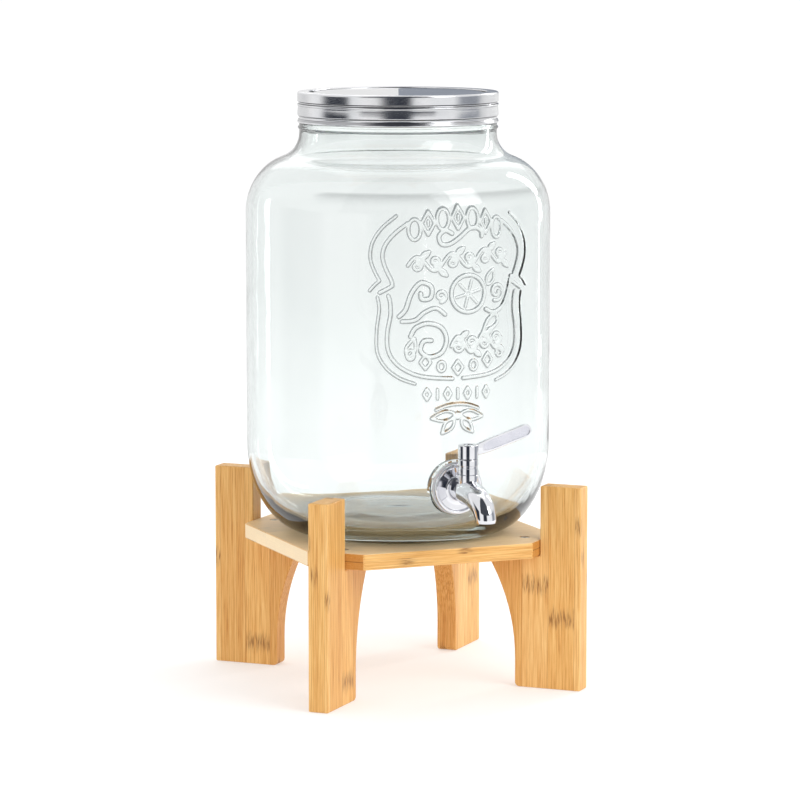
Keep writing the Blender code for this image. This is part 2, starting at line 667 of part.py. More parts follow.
# ---- lid, heights from the mouth -------------------------------------------
def lid_heights():
    disc = GAP + LID_GASKET_THICKNESS + GAP
    return {"gasket": GAP, "disc": disc, "sheet": disc + SHEET + GAP,
            "top": disc + 2 * SHEET + GAP, "bottom": disc + 2 * SHEET + GAP - BAND_HEIGHT}


def band_outline():
    """The band's outer side from its flat rim to its bead, as offsets into the metal."""
    heights = lid_heights()
    top, bottom = heights["top"], heights["bottom"]
    side = arc(BAND_R - BAND_EDGE, top - BAND_EDGE, BAND_EDGE, BAND_EDGE, radians(90), 0, 3)
    for depth in (UPPER_GROOVE, LOWER_GROOVE):
        height = top - depth
        side += [(BAND_R, height + 1.2 * BAND_GROOVE), (BAND_R - BAND_GROOVE, height),
                 (BAND_R, height - 1.2 * BAND_GROOVE)]
    side += arc(BAND_R - BAND_BEAD_R, bottom + BAND_BEAD_R, BAND_BEAD_R, BAND_BEAD_R,
                radians(40), radians(-90), 4)
    return side


def make_band(group, look):
    heights = lid_heights()
    rim = BAND_R - RIM_WIDTH
    wall = BAND_R - BAND_GROOVE - SHEET
    profile = [(rim, heights["top"] - SHEET / 3), (rim + SHEET / 3, heights["top"])]
    profile += band_outline()
    profile += [(wall, heights["bottom"] + SHEET / 4), (wall, heights["sheet"]),
                (rim, heights["sheet"])]
    place(turned("lid_band", profile), group, look, (*JAR_AXIS, MOUTH_Z))


def make_disc(group, look):
    heights = lid_heights()
    outer = BAND_R - BAND_GROOVE - SHEET - DISC_CLEARANCE
    ring = BAND_R - RIM_WIDTH - 3 * PRESSED_RING
    bottom = heights["disc"]
    top = bottom + SHEET
    profile = [(0, top), (ring - 3 * PRESSED_RING, top), (ring - 2 * PRESSED_RING, top + PRESSED_RING / 3),
               (ring - PRESSED_RING, top + PRESSED_RING / 3), (ring, top), (outer, top),
               (outer, bottom), (ring, bottom), (ring - PRESSED_RING, bottom + PRESSED_RING / 3),
               (ring - 2 * PRESSED_RING, bottom + PRESSED_RING / 3), (ring - 3 * PRESSED_RING, bottom),
               (0, bottom)]
    place(turned("lid_disc", profile, SIDES, False), group, look, (*JAR_AXIS, MOUTH_Z))


def make_lid_gasket(group, look):
    outer = BAND_R - BAND_GROOVE - SHEET - DISC_CLEARANCE
    ring = washer("lid_gasket", outer - LID_GASKET_WIDTH, outer, GAP,
                  GAP + LID_GASKET_THICKNESS)
    place(ring, group, look, (*JAR_AXIS, MOUTH_Z))


# ---- assembly --------------------------------------------------------------
def pivot(name, group, location):
    empty = bpy.data.objects.new(name, None)
    empty.empty_display_size = WOOD_EDGE * 10
    group.objects.link(empty)
    empty.location = location
    return empty


def adopt(parent, group, names):
    """Hang pieces on an empty that stands on their joint's axis."""
    for name in names:
        child = group.objects[name]
        child.parent = parent
        child.matrix_parent_inverse = parent.matrix_world.inverted()


def main():
    for thing in list(bpy.context.scene.objects):
        bpy.data.objects.remove(thing)
    group = collection("drink_dispenser")
    tools = collection("shaping_tools")
    tools.hide_render = True
    looks = make_materials()

    make_board(group, tools, looks["bamboo"])
    for name, degrees in LEG_NAMES.items():
        make_leg(name, radians(degrees), group, tools, looks["bamboo"])
        make_leg_screw(name, radians(degrees), group, tools, looks["screw_steel"])
    make_jar(group, tools, looks["clear_glass"])
    make_tap(group, tools, looks)
    make_bonnet(group, looks["chrome"])
    make_plug(group, tools, looks["chrome"])
    make_o_rings(group, looks["black_rubber"])
    make_lever(group, tools, looks)
    make_lid_gasket(group, looks["clear_silicone"])
    make_disc(group, looks["lid_steel"])
    make_band(group, looks["lid_steel"])

    jar_lift = pivot("jar_lift", group, (*JAR_AXIS, BOARD_TOP))
    valve_pivot = pivot("valve_pivot", group, (*VALVE_AXIS, TAP_Z))
    lid_axis = pivot("lid_axis", group, (*JAR_AXIS, MOUTH_Z))
    bpy.context.view_layer.update()
    adopt(valve_pivot, group, ("valve_plug", "upper_o_ring", "lower_o_ring", "lever", "lever_screw"))
    adopt(lid_axis, group, ("lid_gasket", "lid_disc", "lid_band"))
    adopt(jar_lift, group, ("glass_jar", "tap_body", "outer_gasket", "inner_gasket",
                            "shank_washer", "lock_nut", "valve_bonnet"))
    for empty in (valve_pivot, lid_axis):
        empty.parent = jar_lift
        empty.matrix_parent_inverse = jar_lift.matrix_world.inverted()
    for thing in group.objects:
        if thing.type == "MESH":
            shade(thing.data)


main()
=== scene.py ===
"""Looks of the glass drink dispenser: embossed clear jar, chromed tap, steel lid, bamboo stand.

Everything is in the frame's metres, +Z up, with the tap towards -Y.  Places come
from the frame's nodes; the finer shapes that stand for those nodes are driven by
the sizes named below.
"""
from math import atan2, ceil, cos, pi, radians, sin, sqrt, tan

import bmesh
import bpy
import numpy as np
from mathutils import Matrix, Vector


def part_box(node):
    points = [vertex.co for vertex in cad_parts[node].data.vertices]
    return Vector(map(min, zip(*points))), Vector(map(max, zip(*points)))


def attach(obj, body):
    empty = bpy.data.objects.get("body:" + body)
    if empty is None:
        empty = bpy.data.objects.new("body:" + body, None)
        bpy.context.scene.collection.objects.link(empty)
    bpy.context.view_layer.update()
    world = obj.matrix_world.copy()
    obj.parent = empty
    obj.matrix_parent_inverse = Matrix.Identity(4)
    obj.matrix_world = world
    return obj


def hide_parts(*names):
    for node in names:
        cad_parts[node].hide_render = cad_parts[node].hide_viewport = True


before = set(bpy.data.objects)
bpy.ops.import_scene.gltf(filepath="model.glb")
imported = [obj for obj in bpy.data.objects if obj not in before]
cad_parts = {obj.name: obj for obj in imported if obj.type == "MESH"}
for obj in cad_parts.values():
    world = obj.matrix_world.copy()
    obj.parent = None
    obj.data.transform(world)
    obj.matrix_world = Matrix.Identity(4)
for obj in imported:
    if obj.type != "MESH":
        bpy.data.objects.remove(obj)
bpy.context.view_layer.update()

# ---- places taken from the frame ---------------------------------------------
JAR_LOW, JAR_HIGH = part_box("glass_jar")
BAND_LOW, BAND_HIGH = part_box("lid_band")
DISC_LOW, DISC_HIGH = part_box("lid_disc")
LID_SEAL_LOW, LID_SEAL_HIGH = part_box("lid_gasket")
TAP_LOW, TAP_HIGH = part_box("tap_body")
SEAL_LOW, SEAL_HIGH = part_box("outer_gasket")
INNER_SEAL_LOW, INNER_SEAL_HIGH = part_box("inner_gasket")
WASHER_LOW, WASHER_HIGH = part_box("shank_washer")
NUT_LOW, NUT_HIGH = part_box("lock_nut")
BONNET_LOW, BONNET_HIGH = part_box("valve_bonnet")
LEVER_LOW, LEVER_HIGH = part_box("lever")

GAP = 0.0003              # keeps faces of neighbours out of one plane
JAR_R = (JAR_HIGH.x - JAR_LOW.x) / 2
JAR_Y = JAR_HIGH.y - JAR_R
FOOT_Z = JAR_LOW.z
JAR_HEIGHT = JAR_HIGH.z - JAR_LOW.z
BAND_R = (BAND_HIGH.x - BAND_LOW.x) / 2
DISC_R = (DISC_HIGH.x - DISC_LOW.x) / 2
TAP_Z = (SEAL_LOW.z + SEAL_HIGH.z) / 2
VALVE_Y = (BONNET_LOW.y + BONNET_HIGH.y) / 2
PAD_FACE = JAR_Y - SEAL_HIGH.y - GAP      # distance out from the jar's axis
FLANGE_BACK = JAR_Y - SEAL_LOW.y + GAP
VALVE_REACH = JAR_Y - VALVE_Y
TOWER_R = (BONNET_HIGH.x - BONNET_LOW.x) / 2
BONNET_TOP = BONNET_HIGH.z - TAP_Z
HUB_BOTTOM = LEVER_LOW.z - TAP_Z
BOARD_LOW, BOARD_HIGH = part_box("stand_board")
BOARD_MIDDLE = (BOARD_LOW.z + BOARD_HIGH.z) / 2

# ---- jar ---------------------------------------------------------------------
WALL = 0.0045
FLOOR = 0.0090
PUNT = 0.0035
HEEL_WIDTH = 0.0420
HEEL_HEIGHT = 0.0660
FOOT_RING = 0.0040
SHOULDER_DROP = 0.0405
SHOULDER_RISE = 0.0420
SHOULDER_END = radians(72)
NECK_R = 0.0713
FINISH_STEP = 0.0019
FINISH_HEIGHT = 0.0180
FINISH_WALL = 0.0039
LIP = 0.0012
NECK_BEAD = 0.0010        # the ring pressed round the neck, just under the band
NECK_BEAD_DROP = 0.0036
NECK_BEAD_WIDTH = 0.0036
THREAD_HEIGHT = 0.0008
THREAD_PITCH = 0.00635
THREAD_WIDTH = 0.0013
PAD_R = 0.0195
PAD_THICKNESS = 0.0070
SHANK_HOLE_R = 0.0064

# ---- relief on the jar's front, millimetres: across the arc and up from the floor
MM = 0.001
RELIEF_HALF_ANGLE = radians(46)
RELIEF_LOW = 184.0
RELIEF_HIGH = 362.0
RELIEF_CELL = 0.62
RELIEF_SOFTNESS = 0.48    # width of a stroke's sloping side

# ---- tap ---------------------------------------------------------------------
SPOUT_REACH = 0.0310
SPOUT_DROP = 0.0170
SPOUT_ROOT_R = 0.0095
SPOUT_END_R = 0.0070
SPOUT_BORE_R = 0.0045
FLANGE_R = (TAP_HIGH.x - TAP_LOW.x) / 2
FLANGE_THICKNESS = 0.0030
FLANGE_RIM = 0.0022
BARREL_R = 0.0078
SHANK_R = 0.0060
SHANK_BORE_R = 0.0035
SHANK_PITCH = 0.0012
CHAMBER_R = 0.0053
CHAMBER_FLOOR = -0.0063
TOWER_TOP = 0.0125
FINE_SIDES = 96
HALF_STEP = Matrix.Rotation(pi / FINE_SIDES, 4, "Z")  # keeps corners off the seam of a neighbour
OUTWARD = Matrix.Translation((0, JAR_Y, TAP_Z)) @ Matrix.Rotation(radians(90), 4, "X")
VALVE = Matrix.Translation((0, VALVE_Y, TAP_Z))

STEM_R = 0.0032
LEVER_RISE = radians(17.6)
LEVER_BLADE = 0.0093
LEVER_ROOT = 0.0062
LEVER_THICKNESS = 0.0032
LEVER_BORDER = 0.0013
LEVER_RECESS = 0.0006
LEVER_FLARE = 0.0200
HUB_TOP = 0.0335
LEVER_SCREW_R = 0.0028
LEVER_SCREW_RECESS = 0.0318

# ---- lid ---------------------------------------------------------------------
SHEET = 0.0008
GROOVE = 0.0011
BAND_STEP = 0.0009        # unit of the depths in BAND_SHAPE
BAND_SHAPE = (            # (depth below the top, share of the groove's full inset)
    (3, 0.00), (7.0, 0.02), (7.8, 0.10), (8.4, 0.85), (9.2, 0.95), (9.8, 0.15), (10.5, 0.0),
    (11.1, 0.10), (11.8, 0.42), (14, 0.25), (17, 0.05), (18.6, 0.10), (19.4, 0.60), (20.2, 1.0),
    (21.2, 1.0), (22.0, 0.55))
RIM_WIDTH = 0.0085
EDGE_R = 0.0016
BEAD_R = 0.0011
SEAL_WIDTH = 0.0075
LID_SIDES = 192
JAR_AXIS = Matrix.Translation((0, JAR_Y, 0))

# ---- stand -------------------------------------------------------------------
LEG_ANGLES = {"front_right": -45, "back_right": 45, "back_left": 135, "front_left": -135}
BAMBOO_STRIP = 0.0200     # width of a laminated strip
BAMBOO_PLY = 0.0052       # thickness of a layer
BAMBOO_LINE = 0.0150 / 9  # between the fine lines on a narrow edge
BAMBOO_JOINT = 0.2300     # between the nodes along a cane
JOINT_HALF = 0.0066       # half the height of a node's dark mark

# ---- studio ------------------------------------------------------------------
GLASS_COLOUR = (0.80, 0.84, 0.835, 1)
GLASS_DENSITY = 72.0      # how fast that colour deepens inside the glass, per metre
CAMERA_AZIMUTH = radians(-22.3)
CAMERA_ELEVATION = radians(7.53)
CAMERA_DISTANCE = 2.6556
CAMERA_LENS = 164.2
TARGET_ASIDE = 0.00146
TARGET_Z = 0.20298
LIGHTS = (                # name, azimuth from the camera's, elevation, distance, width, height, watts
    ("key", 52, 38, 2.2, 1.2, 1.0, 15),
    ("right_strip", 136, 12, 1.6, 0.14, 1.6, 7),
    ("top", 180, 72, 2.0, 1.6, 1.2, 4),
    ("back", 180, 35, 2.4, 2.0, 1.2, 4))
LIGHTS_AIM_Z = 0.22
FLOOR_R = 60.0
TENT_R = 1.0
TENT_HEIGHT = 0.52
BRIGHT, SOFT, GREY, DARK = (1.10,) * 3, (0.85,) * 3, (0.34, 0.36, 0.40), (0.035, 0.04, 0.055)
TENT_BANDS = tuple(       # brightness round the jar, by degrees from the camera
    ((degrees + 180) / 360, colour) for degrees, colour in (
        (-180, SOFT), (-122, SOFT), (-112, BRIGHT), (-98, BRIGHT), (-86, DARK), (-60, DARK), (-52, BRIGHT),
        (-22, BRIGHT), (-14, DARK), (12, DARK), (19, BRIGHT), (64, BRIGHT), (76, GREY), (100, GREY),
        (108, SOFT), (180, SOFT)))
BACK_CARD_Y = 0.94        # just in front of the tent's wall, behind the right half of the lid
BACK_CARD_Z = (0.40, 1.50)
BACK_CARD_WIDTH = 0.33
HOOD_REACH = 0.16
HOOD_Z = 1.40


# ---- node helpers ------------------------------------------------------------
class Graph:
    """Shorthand for building one material's or world's node tree."""

    def __init__(self, tree):
        self.tree = tree

    def node(self, kind, **settings):
        made = self.tree.nodes.new(kind)
        for key, value in settings.items():
            setattr(made, key, value)
        return made

    def feed(self, socket, value):
        if isinstance(value, bpy.types.NodeSocket):
            self.tree.links.new(value, socket)
        else:
            socket.default_value = value

    def fill(self, node, **values):
        """Feed a node's sockets by name, with _ for each space in the name."""
        for name, value in values.items():
            self.feed(node.inputs[name.replace("_", " ")], value)
        return node

    def math(self, operation, *values):
        made = self.node("ShaderNodeMath", operation=operation)
        for socket, value in zip(made.inputs, values):
            self.feed(socket, value)
        return made.outputs[0]

    def times(self, first, second):
        return self.math("MULTIPLY", first, second)

    def plus(self, first, second):
        return self.math("ADD", first, second)

    def vector(self, operation, *values, output="Vector"):
        made = self.node("ShaderNodeVectorMath", operation=operation)
        for socket, value in zip(made.inputs, values):
            self.feed(socket, value)
        return made.outputs[output]

    def split(self, vector):
        made = self.node("ShaderNodeSeparateXYZ")
        self.feed(made.inputs[0], vector)
        return made.outputs

    def remap(self, value, low, high, to_low=0.0, to_high=1.0):
        made = self.node("ShaderNodeMapRange", clamp=True, interpolation_type="SMOOTHSTEP")
        self.fill(made, Value=value, From_Min=low, From_Max=high, To_Min=to_low, To_Max=to_high)
        return made.outputs["Result"]

    def between(self, value, low, high, fade):
        """1 from low to high, and 0 outside, with a fade just inside both ends."""
        return self.times(self.remap(value, low, low + fade), self.remap(value, high, high - fade))

    def noise(self, vector, scale, detail=3.0, roughness=0.5, distortion=0.0):
        made = self.node("ShaderNodeTexNoise")
        self.fill(made, Vector=vector, Scale=scale, Detail=detail, Roughness=roughness,
                  Distortion=distortion)
        return made.outputs["Fac"]

    def mapping(self, vector, location=(0, 0, 0), rotation=(0, 0, 0), scale=(1, 1, 1)):
        made = self.node("ShaderNodeMapping")
        self.fill(made, Vector=vector, Location=location, Rotation=rotation, Scale=scale)
        return made.outputs["Vector"]

    def ramp(self, value, *stops):
        made = self.node("ShaderNodeValToRGB")
        elements = made.color_ramp.elements
        while len(elements) < len(stops):
            elements.new(0.5)
        for element, (position, colour) in zip(elements, stops):
            element.position = position
            element.color = (*colour, 1)
        self.feed(made.inputs["Fac"], value)
        return made.outputs["Color"]

    def mix(self, share, first, second, blend="MIX"):
        made = self.node("ShaderNodeMix", data_type="RGBA", blend_type=blend)
        self.feed(made.inputs["Factor"], share)
        for name, item in (("A", first), ("B", second)):
            socket = [s for s in made.inputs if s.name == name and s.type == "RGBA"][0]
            self.feed(socket, item if isinstance(item, bpy.types.NodeSocket) else (*item, 1))
        return [s for s in made.outputs if s.type == "RGBA"][0]

    def bump(self, height, strength, distance):
        made = self.node("ShaderNodeBump")
        return self.fill(made, Height=height, Strength=strength, Distance=distance).outputs["Normal"]


# ---- materials ---------------------------------------------------------------
def new_material(name):
    made = bpy.data.materials.new(name)
    made.use_nodes = True
    graph = Graph(made.node_tree)
    place = graph.node("ShaderNodeTexCoord").outputs
    return made, graph, made.node_tree.nodes["Principled BSDF"], place


def metal(name, dark, light, rough, streak, bump, tint_scale=60, painted_shade_heights=None):
    """Plated or polished metal: cloudy tint and smudges that vary its roughness.

    Between the two heights given, the slopes that face up or down get painted shade, as in grooves.
    """
    made, graph, shader, place = new_material(name)
    cloud = graph.noise(place["Object"], tint_scale, 4)
    lines = graph.noise(graph.mapping(place["Object"], scale=streak), 260, 4, 0.6)
    colour = graph.ramp(cloud, (0.3, dark), (0.7, light))
    if painted_shade_heights:
        slope = graph.remap(graph.math("ABSOLUTE", graph.split(place["Normal"])[2]), 0.25, 0.70)
        share = graph.times(slope, graph.between(graph.split(place["Object"])[2], *painted_shade_heights, 0.0005))
        # painted shade: the grooves' up- and down-facing slopes are mixed toward near black
        colour = graph.mix(graph.times(share, 0.82), colour, (0.09, 0.09, 0.10))
    both = graph.plus(graph.times(cloud, 0.5), graph.times(lines, 0.5))
    graph.fill(shader, Metallic=1.0, Base_Color=colour,
               Roughness=graph.remap(both, 0.35, 0.65, *rough),
               Normal=graph.bump(lines, bump, 0.00003))
    return made


def glass_material():
    """Clear pressed glass: faintly wavy and darker along its length, with painted shade on the relief's
    slopes.
    """
    made, graph, shader, place = new_material("jar_glass")
    swirl = graph.noise(place["Object"], 18, 2, 0.4, 0.3)
    fine = graph.noise(place["Object"], 160, 3, 0.5)
    tint = graph.ramp(swirl, (0.30, (0.965, 0.980, 0.975)), (0.70, (0.990, 0.998, 0.995)))

    # painted shade: the sloping sides of the front relief darken the base colour toward near black
    outward = graph.vector("SUBTRACT", place["Object"], (0, JAR_Y, 0))
    radial = graph.vector("NORMALIZE", graph.vector("MULTIPLY", outward, (1, 1, 0)))
    facing = graph.vector("DOT_PRODUCT", radial, place["Normal"], output="Value")
    slope = graph.remap(graph.math("ABSOLUTE", facing), 0.975, 0.80)
    axes = graph.split(place["Object"])
    front = graph.remap(axes[1], JAR_Y - 0.055, JAR_Y - 0.065)
    level = graph.between(axes[2], (RELIEF_LOW + 1) * MM, (RELIEF_HIGH - 1) * MM, 2 * MM)
    edge = graph.times(slope, graph.times(front, level))

    graph.fill(shader, Base_Color=graph.mix(graph.times(edge, 0.95), tint, (0.08, 0.09, 0.095)),
               Transmission_Weight=1.0, IOR=1.48,
               Roughness=graph.remap(fine, 0.35, 0.75, 0.0, 0.018),
               Normal=graph.bump(swirl, 0.10, 0.004))
    inside = graph.node("ShaderNodeVolumeAbsorption")
    graph.fill(inside, Color=GLASS_COLOUR, Density=GLASS_DENSITY)
    graph.feed(made.node_tree.nodes["Material Output"].inputs["Volume"], inside.outputs[0])
    return made


def soft_material(name, dark, light, rough, scatter):
    """Moulded rubber, silicone or nylon, faintly mottled."""
    made, graph, shader, place = new_material(name)
    mottle = graph.noise(place["Object"], 300, 4, 0.6)
    cloud = graph.noise(place["Object"], 37.5, 3)
    graph.fill(shader, Base_Color=graph.ramp(cloud, (0.3, dark), (0.7, light)),
               Roughness=graph.remap(mottle, 0.3, 0.7, rough - 0.06, rough + 0.06),
               Subsurface_Weight=scatter, Subsurface_Scale=0.002,
               Normal=graph.bump(mottle, 0.15, 0.00008))
    return made


def bamboo(name, along, across, edge, middle, turn, ends=False):
    """Laminated bamboo.

    along, across and edge are the axis numbers of the fibres, of the strips laid
    side by side and of the thickness, once the piece is moved back to middle and
    turned about +Z so that it lines up with the axes.  With ends, the top is paler
    with painted light from above, the faces that cut across the fibres are pale and
    the slanted ones a deep orange.
    """
    made, graph, shader, place = new_material(name)
    plus, times, remap = graph.plus, graph.times, graph.remap
    back = Matrix.Rotation(-turn, 3, "Z")
    local = graph.mapping(place["Object"], -(back @ Vector(middle)), (0, 0, -turn))
    axes = graph.split(local)
    fibre, side, depth = axes[along], axes[across], axes[edge]

    wobble = times(plus(graph.noise(local, 9, 2), -0.5), 0.0016)
    strips = graph.math("DIVIDE", plus(side, wobble), BAMBOO_STRIP)
    layer = graph.math("FLOOR", graph.math("DIVIDE", depth, BAMBOO_PLY))
    random = graph.node("ShaderNodeTexWhiteNoise", noise_dimensions="1D")
    graph.fill(random, W=plus(graph.math("FLOOR", strips), times(layer, 7.3)))
    tone = random.outputs["Value"]

    stretched = [graph.mapping(local, scale=[share if axis == along else 1.0 for axis in range(3)])
                 for share in (0.018, 0.05, 0.10)]
    fibres = graph.noise(graph.vector("ADD", stretched[0], random.outputs["Color"]), 1500, 4, 0.65)
    bundles = graph.noise(stretched[1], 320, 3, 0.55, 0.4)
    dashes = remap(graph.noise(stretched[2], 950, 2, 0.5), 0.42, 0.62)

    colour = graph.ramp(fibres, (0.30, (0.53, 0.245, 0.060)), (0.46, (0.79, 0.445, 0.138)),
                        (0.62, (0.91, 0.590, 0.232)), (0.80, (0.97, 0.715, 0.330)))
    strip_tint = graph.ramp(tone, (0.0, (0.88, 0.79, 0.68)), (0.5, (1.0, 0.97, 0.92)),
                            (1.0, (1.04, 1.06, 1.15)))
    colour = graph.mix(1.0, colour, strip_tint, "MULTIPLY")
    bundle_tint = graph.ramp(bundles, (0.32, (0.88, 0.78, 0.64)), (0.62, (1.0, 1.0, 1.0)))
    colour = graph.mix(0.8, colour, bundle_tint, "MULTIPLY")

    lines = graph.math("DIVIDE", plus(depth, times(wobble, 0.25)), BAMBOO_LINE)
    lines = times(remap(graph.math("PINGPONG", lines, 0.5), 0.02, 0.16, 1.0, 0.0),
                  remap(bundles, 0.35, 0.65, 0.15, 0.75))
    ragged = times(plus(graph.noise(stretched[1], 900, 3, 0.7), -0.5), 0.016)
    started = plus(plus(fibre, times(tone, 0.41)), ragged)
    mark = remap(graph.math("PINGPONG", started, BAMBOO_JOINT / 2), 0.0, 1.5 * JOINT_HALF, 1.0, 0.0)
    mark = times(mark, plus(times(dashes, 0.75), 0.22))
    glue = remap(graph.math("PINGPONG", strips, 0.5), 0.0, 0.020, 1.0, 0.0)
    layers = [(lines, 0.62, (0.40, 0.165, 0.035)), (mark, 0.85, (0.235, 0.090, 0.018)),
              (glue, 0.40, (0.36, 0.150, 0.035))]
    if ends:
        facing = graph.split(place["Normal"])
        sideways = graph.math("ABSOLUTE", facing[along])
        slanted = times(remap(sideways, 0.55, 0.65), remap(sideways, 0.85, 0.75))
        from_joint = graph.math("ABSOLUTE", plus(depth, -BOARD_MIDDLE))
        # painted light: the first layer below paints the upward faces a pale cream, as if lit from above
        layers += [(remap(facing[edge], 0.80, 0.95), 0.48, (1.00, 0.83, 0.54)),
                   (remap(sideways, 0.90, 0.97), 0.75, (0.99, 0.84, 0.58)),
                   (slanted, 0.66, (0.50, 0.185, 0.020)),
                   (times(slanted, remap(from_joint, 0.0001, 0.0004, 1.0, 0.0)), 0.7, (0.16, 0.05, 0.01))]
    for share, strength, tint in layers:
        colour = graph.mix(times(share, strength), colour, tint)

    height = plus(plus(times(fibres, 0.6), times(glue, -0.8)), times(mark, -0.5))
    graph.fill(shader, Base_Color=colour, Roughness=remap(fibres, 0.3, 0.7, 0.52, 0.40),
               Specular_IOR_Level=0.32, Coat_Weight=0.06, Coat_Roughness=0.28,
               Normal=graph.bump(height, 0.35, 0.00018))
    return made


# ---- mesh helpers ------------------------------------------------------------
def placed(name, data):
    thing = bpy.data.objects.new(name, data)
    bpy.context.scene.collection.objects.link(thing)
    return thing


def finished(name, mesh, look, body, replaced, slot_name, sharp=32):
    """Name and dress a mesh, set it to ride its body and stand for a CAD node."""
    thing = placed(name, mesh)
    if sharp:
        mesh.shade_smooth()
        mesh.set_sharp_from_angle(angle=radians(sharp))
    mesh.materials.clear()
    mesh.materials.append(look)
    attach(thing, body)
    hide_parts(replaced)


def released(work, name, place=Matrix()):
    """The bmesh as a new mesh, its faces pointing out, moved by place."""
    bmesh.ops.recalc_face_normals(work, faces=work.faces)
    work.transform(place)
    mesh = bpy.data.meshes.new(name)
    work.to_mesh(mesh)
    work.free()
    return mesh


def lathe(profile, sides, closed, place=Matrix()):
    """A profile of (radius, height) turned about +Z, its outer side running down.

    A closed profile is a ring's section.  An open one starts and ends on the axis.
    """
    work = bmesh.new()
    rings = []
    for radius, height in profile:
        if radius < 1e-9:
            rings.append([work.verts.new((0, 0, height))])
        else:
            rings.append([work.verts.new((radius * cos(2 * pi * i / sides),
                                          radius * sin(2 * pi * i / sides), height))
                          for i in range(sides)])
    for upper, lower in zip(rings, rings[1:] + ([rings[0]] if closed else [])):
        for i in range(sides):
            j = (i + 1) % sides
            if len(upper) == 1:
                work.faces.new((upper[0], lower[i], lower[j]))
            elif len(lower) == 1:
                work.faces.new((upper[i], lower[0], upper[j]))
            else:
                work.faces.new((upper[i], lower[i], lower[j], upper[j]))
    return released(work, "lathe", place)


def sweep(path, radii, sides):
    """A round bar along points in the YZ plane, with flat ends."""
    work = bmesh.new()
    rings = []
    across = Vector((1, 0, 0))
    for i, (centre, radius) in enumerate(zip(path, radii)):
        heading = (path[min(i + 1, len(path) - 1)] - path[max(i - 1, 0)]).normalized()
        if i == len(path) - 1:
            heading = Vector((0, 0, -1))
        if i == 0:
            heading = Vector((0, -1, 0))
        up = heading.cross(across).normalized()
        rings.append([work.verts.new(centre + radius * (cos(a) * across + sin(a) * up))
                      for a in (2 * pi * k / sides for k in range(sides))])
    for first, second in zip(rings, rings[1:]):
        for i in range(sides):
            j = (i + 1) % sides
            work.faces.new((first[i], first[j], second[j], second[i]))
    work.faces.new(rings[0])
    work.faces.new(rings[-1][::-1])
    return released(work, "sweep")


def plate(outline, thickness, place):
    """A closed outline in XY, thickened evenly to both sides of that plane."""
    work = bmesh.new()
    low, high = ([work.verts.new((x, y, z)) for x, y in outline] for z in (-thickness / 2, thickness / 2))
    work.faces.new(low[::-1])
    work.faces.new(high)
    for i in range(len(outline)):
        j = (i + 1) % len(outline)
        work.faces.new((low[i], low[j], high[j], high[i]))
    return released(work, "plate", place)


def baked(thing, *helpers):
    """The object's mesh with its modifiers worked in, the object and helpers gone."""
    seen = thing.evaluated_get(bpy.context.evaluated_depsgraph_get())
    mesh = bpy.data.meshes.new_from_object(seen)
    for item in (thing, *helpers):
        bpy.data.objects.remove(item)
    return mesh


def rounded(mesh, width):
    """The mesh with its sharp edges rolled over."""
    thing = placed("rounding", mesh)
    change = thing.modifiers.new("edges", "BEVEL")
    change.width = width
    change.segments = 3
    change.limit_method = "ANGLE"
    change.angle_limit = radians(35)
    return baked(thing)


def combined(mesh, *steps):
    """The mesh after unions and differences with other meshes, in order."""
    thing = placed("solid", mesh)
    helpers = []
    for operation, other in steps:
        change = thing.modifiers.new(operation, "BOOLEAN")
        change.operation = operation
        change.solver = "EXACT"
        change.object = placed("tool", other)
        helpers.append(change.object)
    return baked(thing, *helpers)


def arc(centre_r, centre_z, radius_r, radius_z, start, end, steps):
    angles = [start + (end - start) * i / steps for i in range(steps + 1)]
    return [(centre_r + radius_r * cos(a), centre_z + radius_z * sin(a)) for a in angles]


def spread(points, spacing):
    """A polyline with extra points, so that none of its parts is longer than spacing."""
    result = [points[0]]
    for (r0, z0), (r1, z1) in zip(points, points[1:]):
        count = max(1, ceil(sqrt((r1 - r0) ** 2 + (z1 - z0) ** 2) / spacing))
        result += [(r0 + (r1 - r0) * i / count, z0 + (z1 - z0) * i / count)
                   for i in range(1, count + 1)]
    return result


# ---- relief: strokes on the jar's front --------------------------------------
def smooth_path(points, steps=10):
    """A curve through the points (Catmull-Rom)."""
    full = [points[0]] + list(points) + [points[-1]]
    path = []
    for a, b, c, d in zip(full, full[1:], full[2:], full[3:]):
        for i in range(steps):
            t = i / steps
            path.append(tuple(0.5 * (2 * b[k] + (c[k] - a[k]) * t
                                     + (2 * a[k] - 5 * b[k] + 4 * c[k] - d[k]) * t * t
                                     + (3 * b[k] - a[k] - 3 * c[k] + d[k]) * t ** 3)
                              for k in (0, 1)))
    return path + [tuple(points[-1])]


def spiral(x, z, outer, inner, start, turns, steps=36):
    """A curl that winds in from the outer radius to the inner one."""
    path = []
    for i in range(steps + 1):
        t = i / steps
        radius = outer + (inner - outer) * t
        angle = start + 2 * pi * turns * t
        path.append((x + radius * cos(angle), z + radius * sin(angle)))
    return path


def ring(x, z, across, tall, steps=28):
    return [(x + across * cos(2 * pi * i / steps), z + tall * sin(2 * pi * i / steps))
            for i in range(steps + 1)]


def leaf(x, z, length, width, angle):
    """Both sides of a pointed leaf that grows from (x, z)."""
    def at(along, aside):
        return (x + along * cos(angle) - aside * sin(angle),
                z + along * sin(angle) + aside * cos(angle))
    return [[at(length * i / 12, sign * width * sin(pi * (i / 12) ** 0.8)) for i in range(13)]
            for sign in (1, -1)]


def lozenge(x, z, across, tall):
    return [(x, z + tall), (x + across, z), (x, z - tall), (x - across, z), (x, z + tall)]


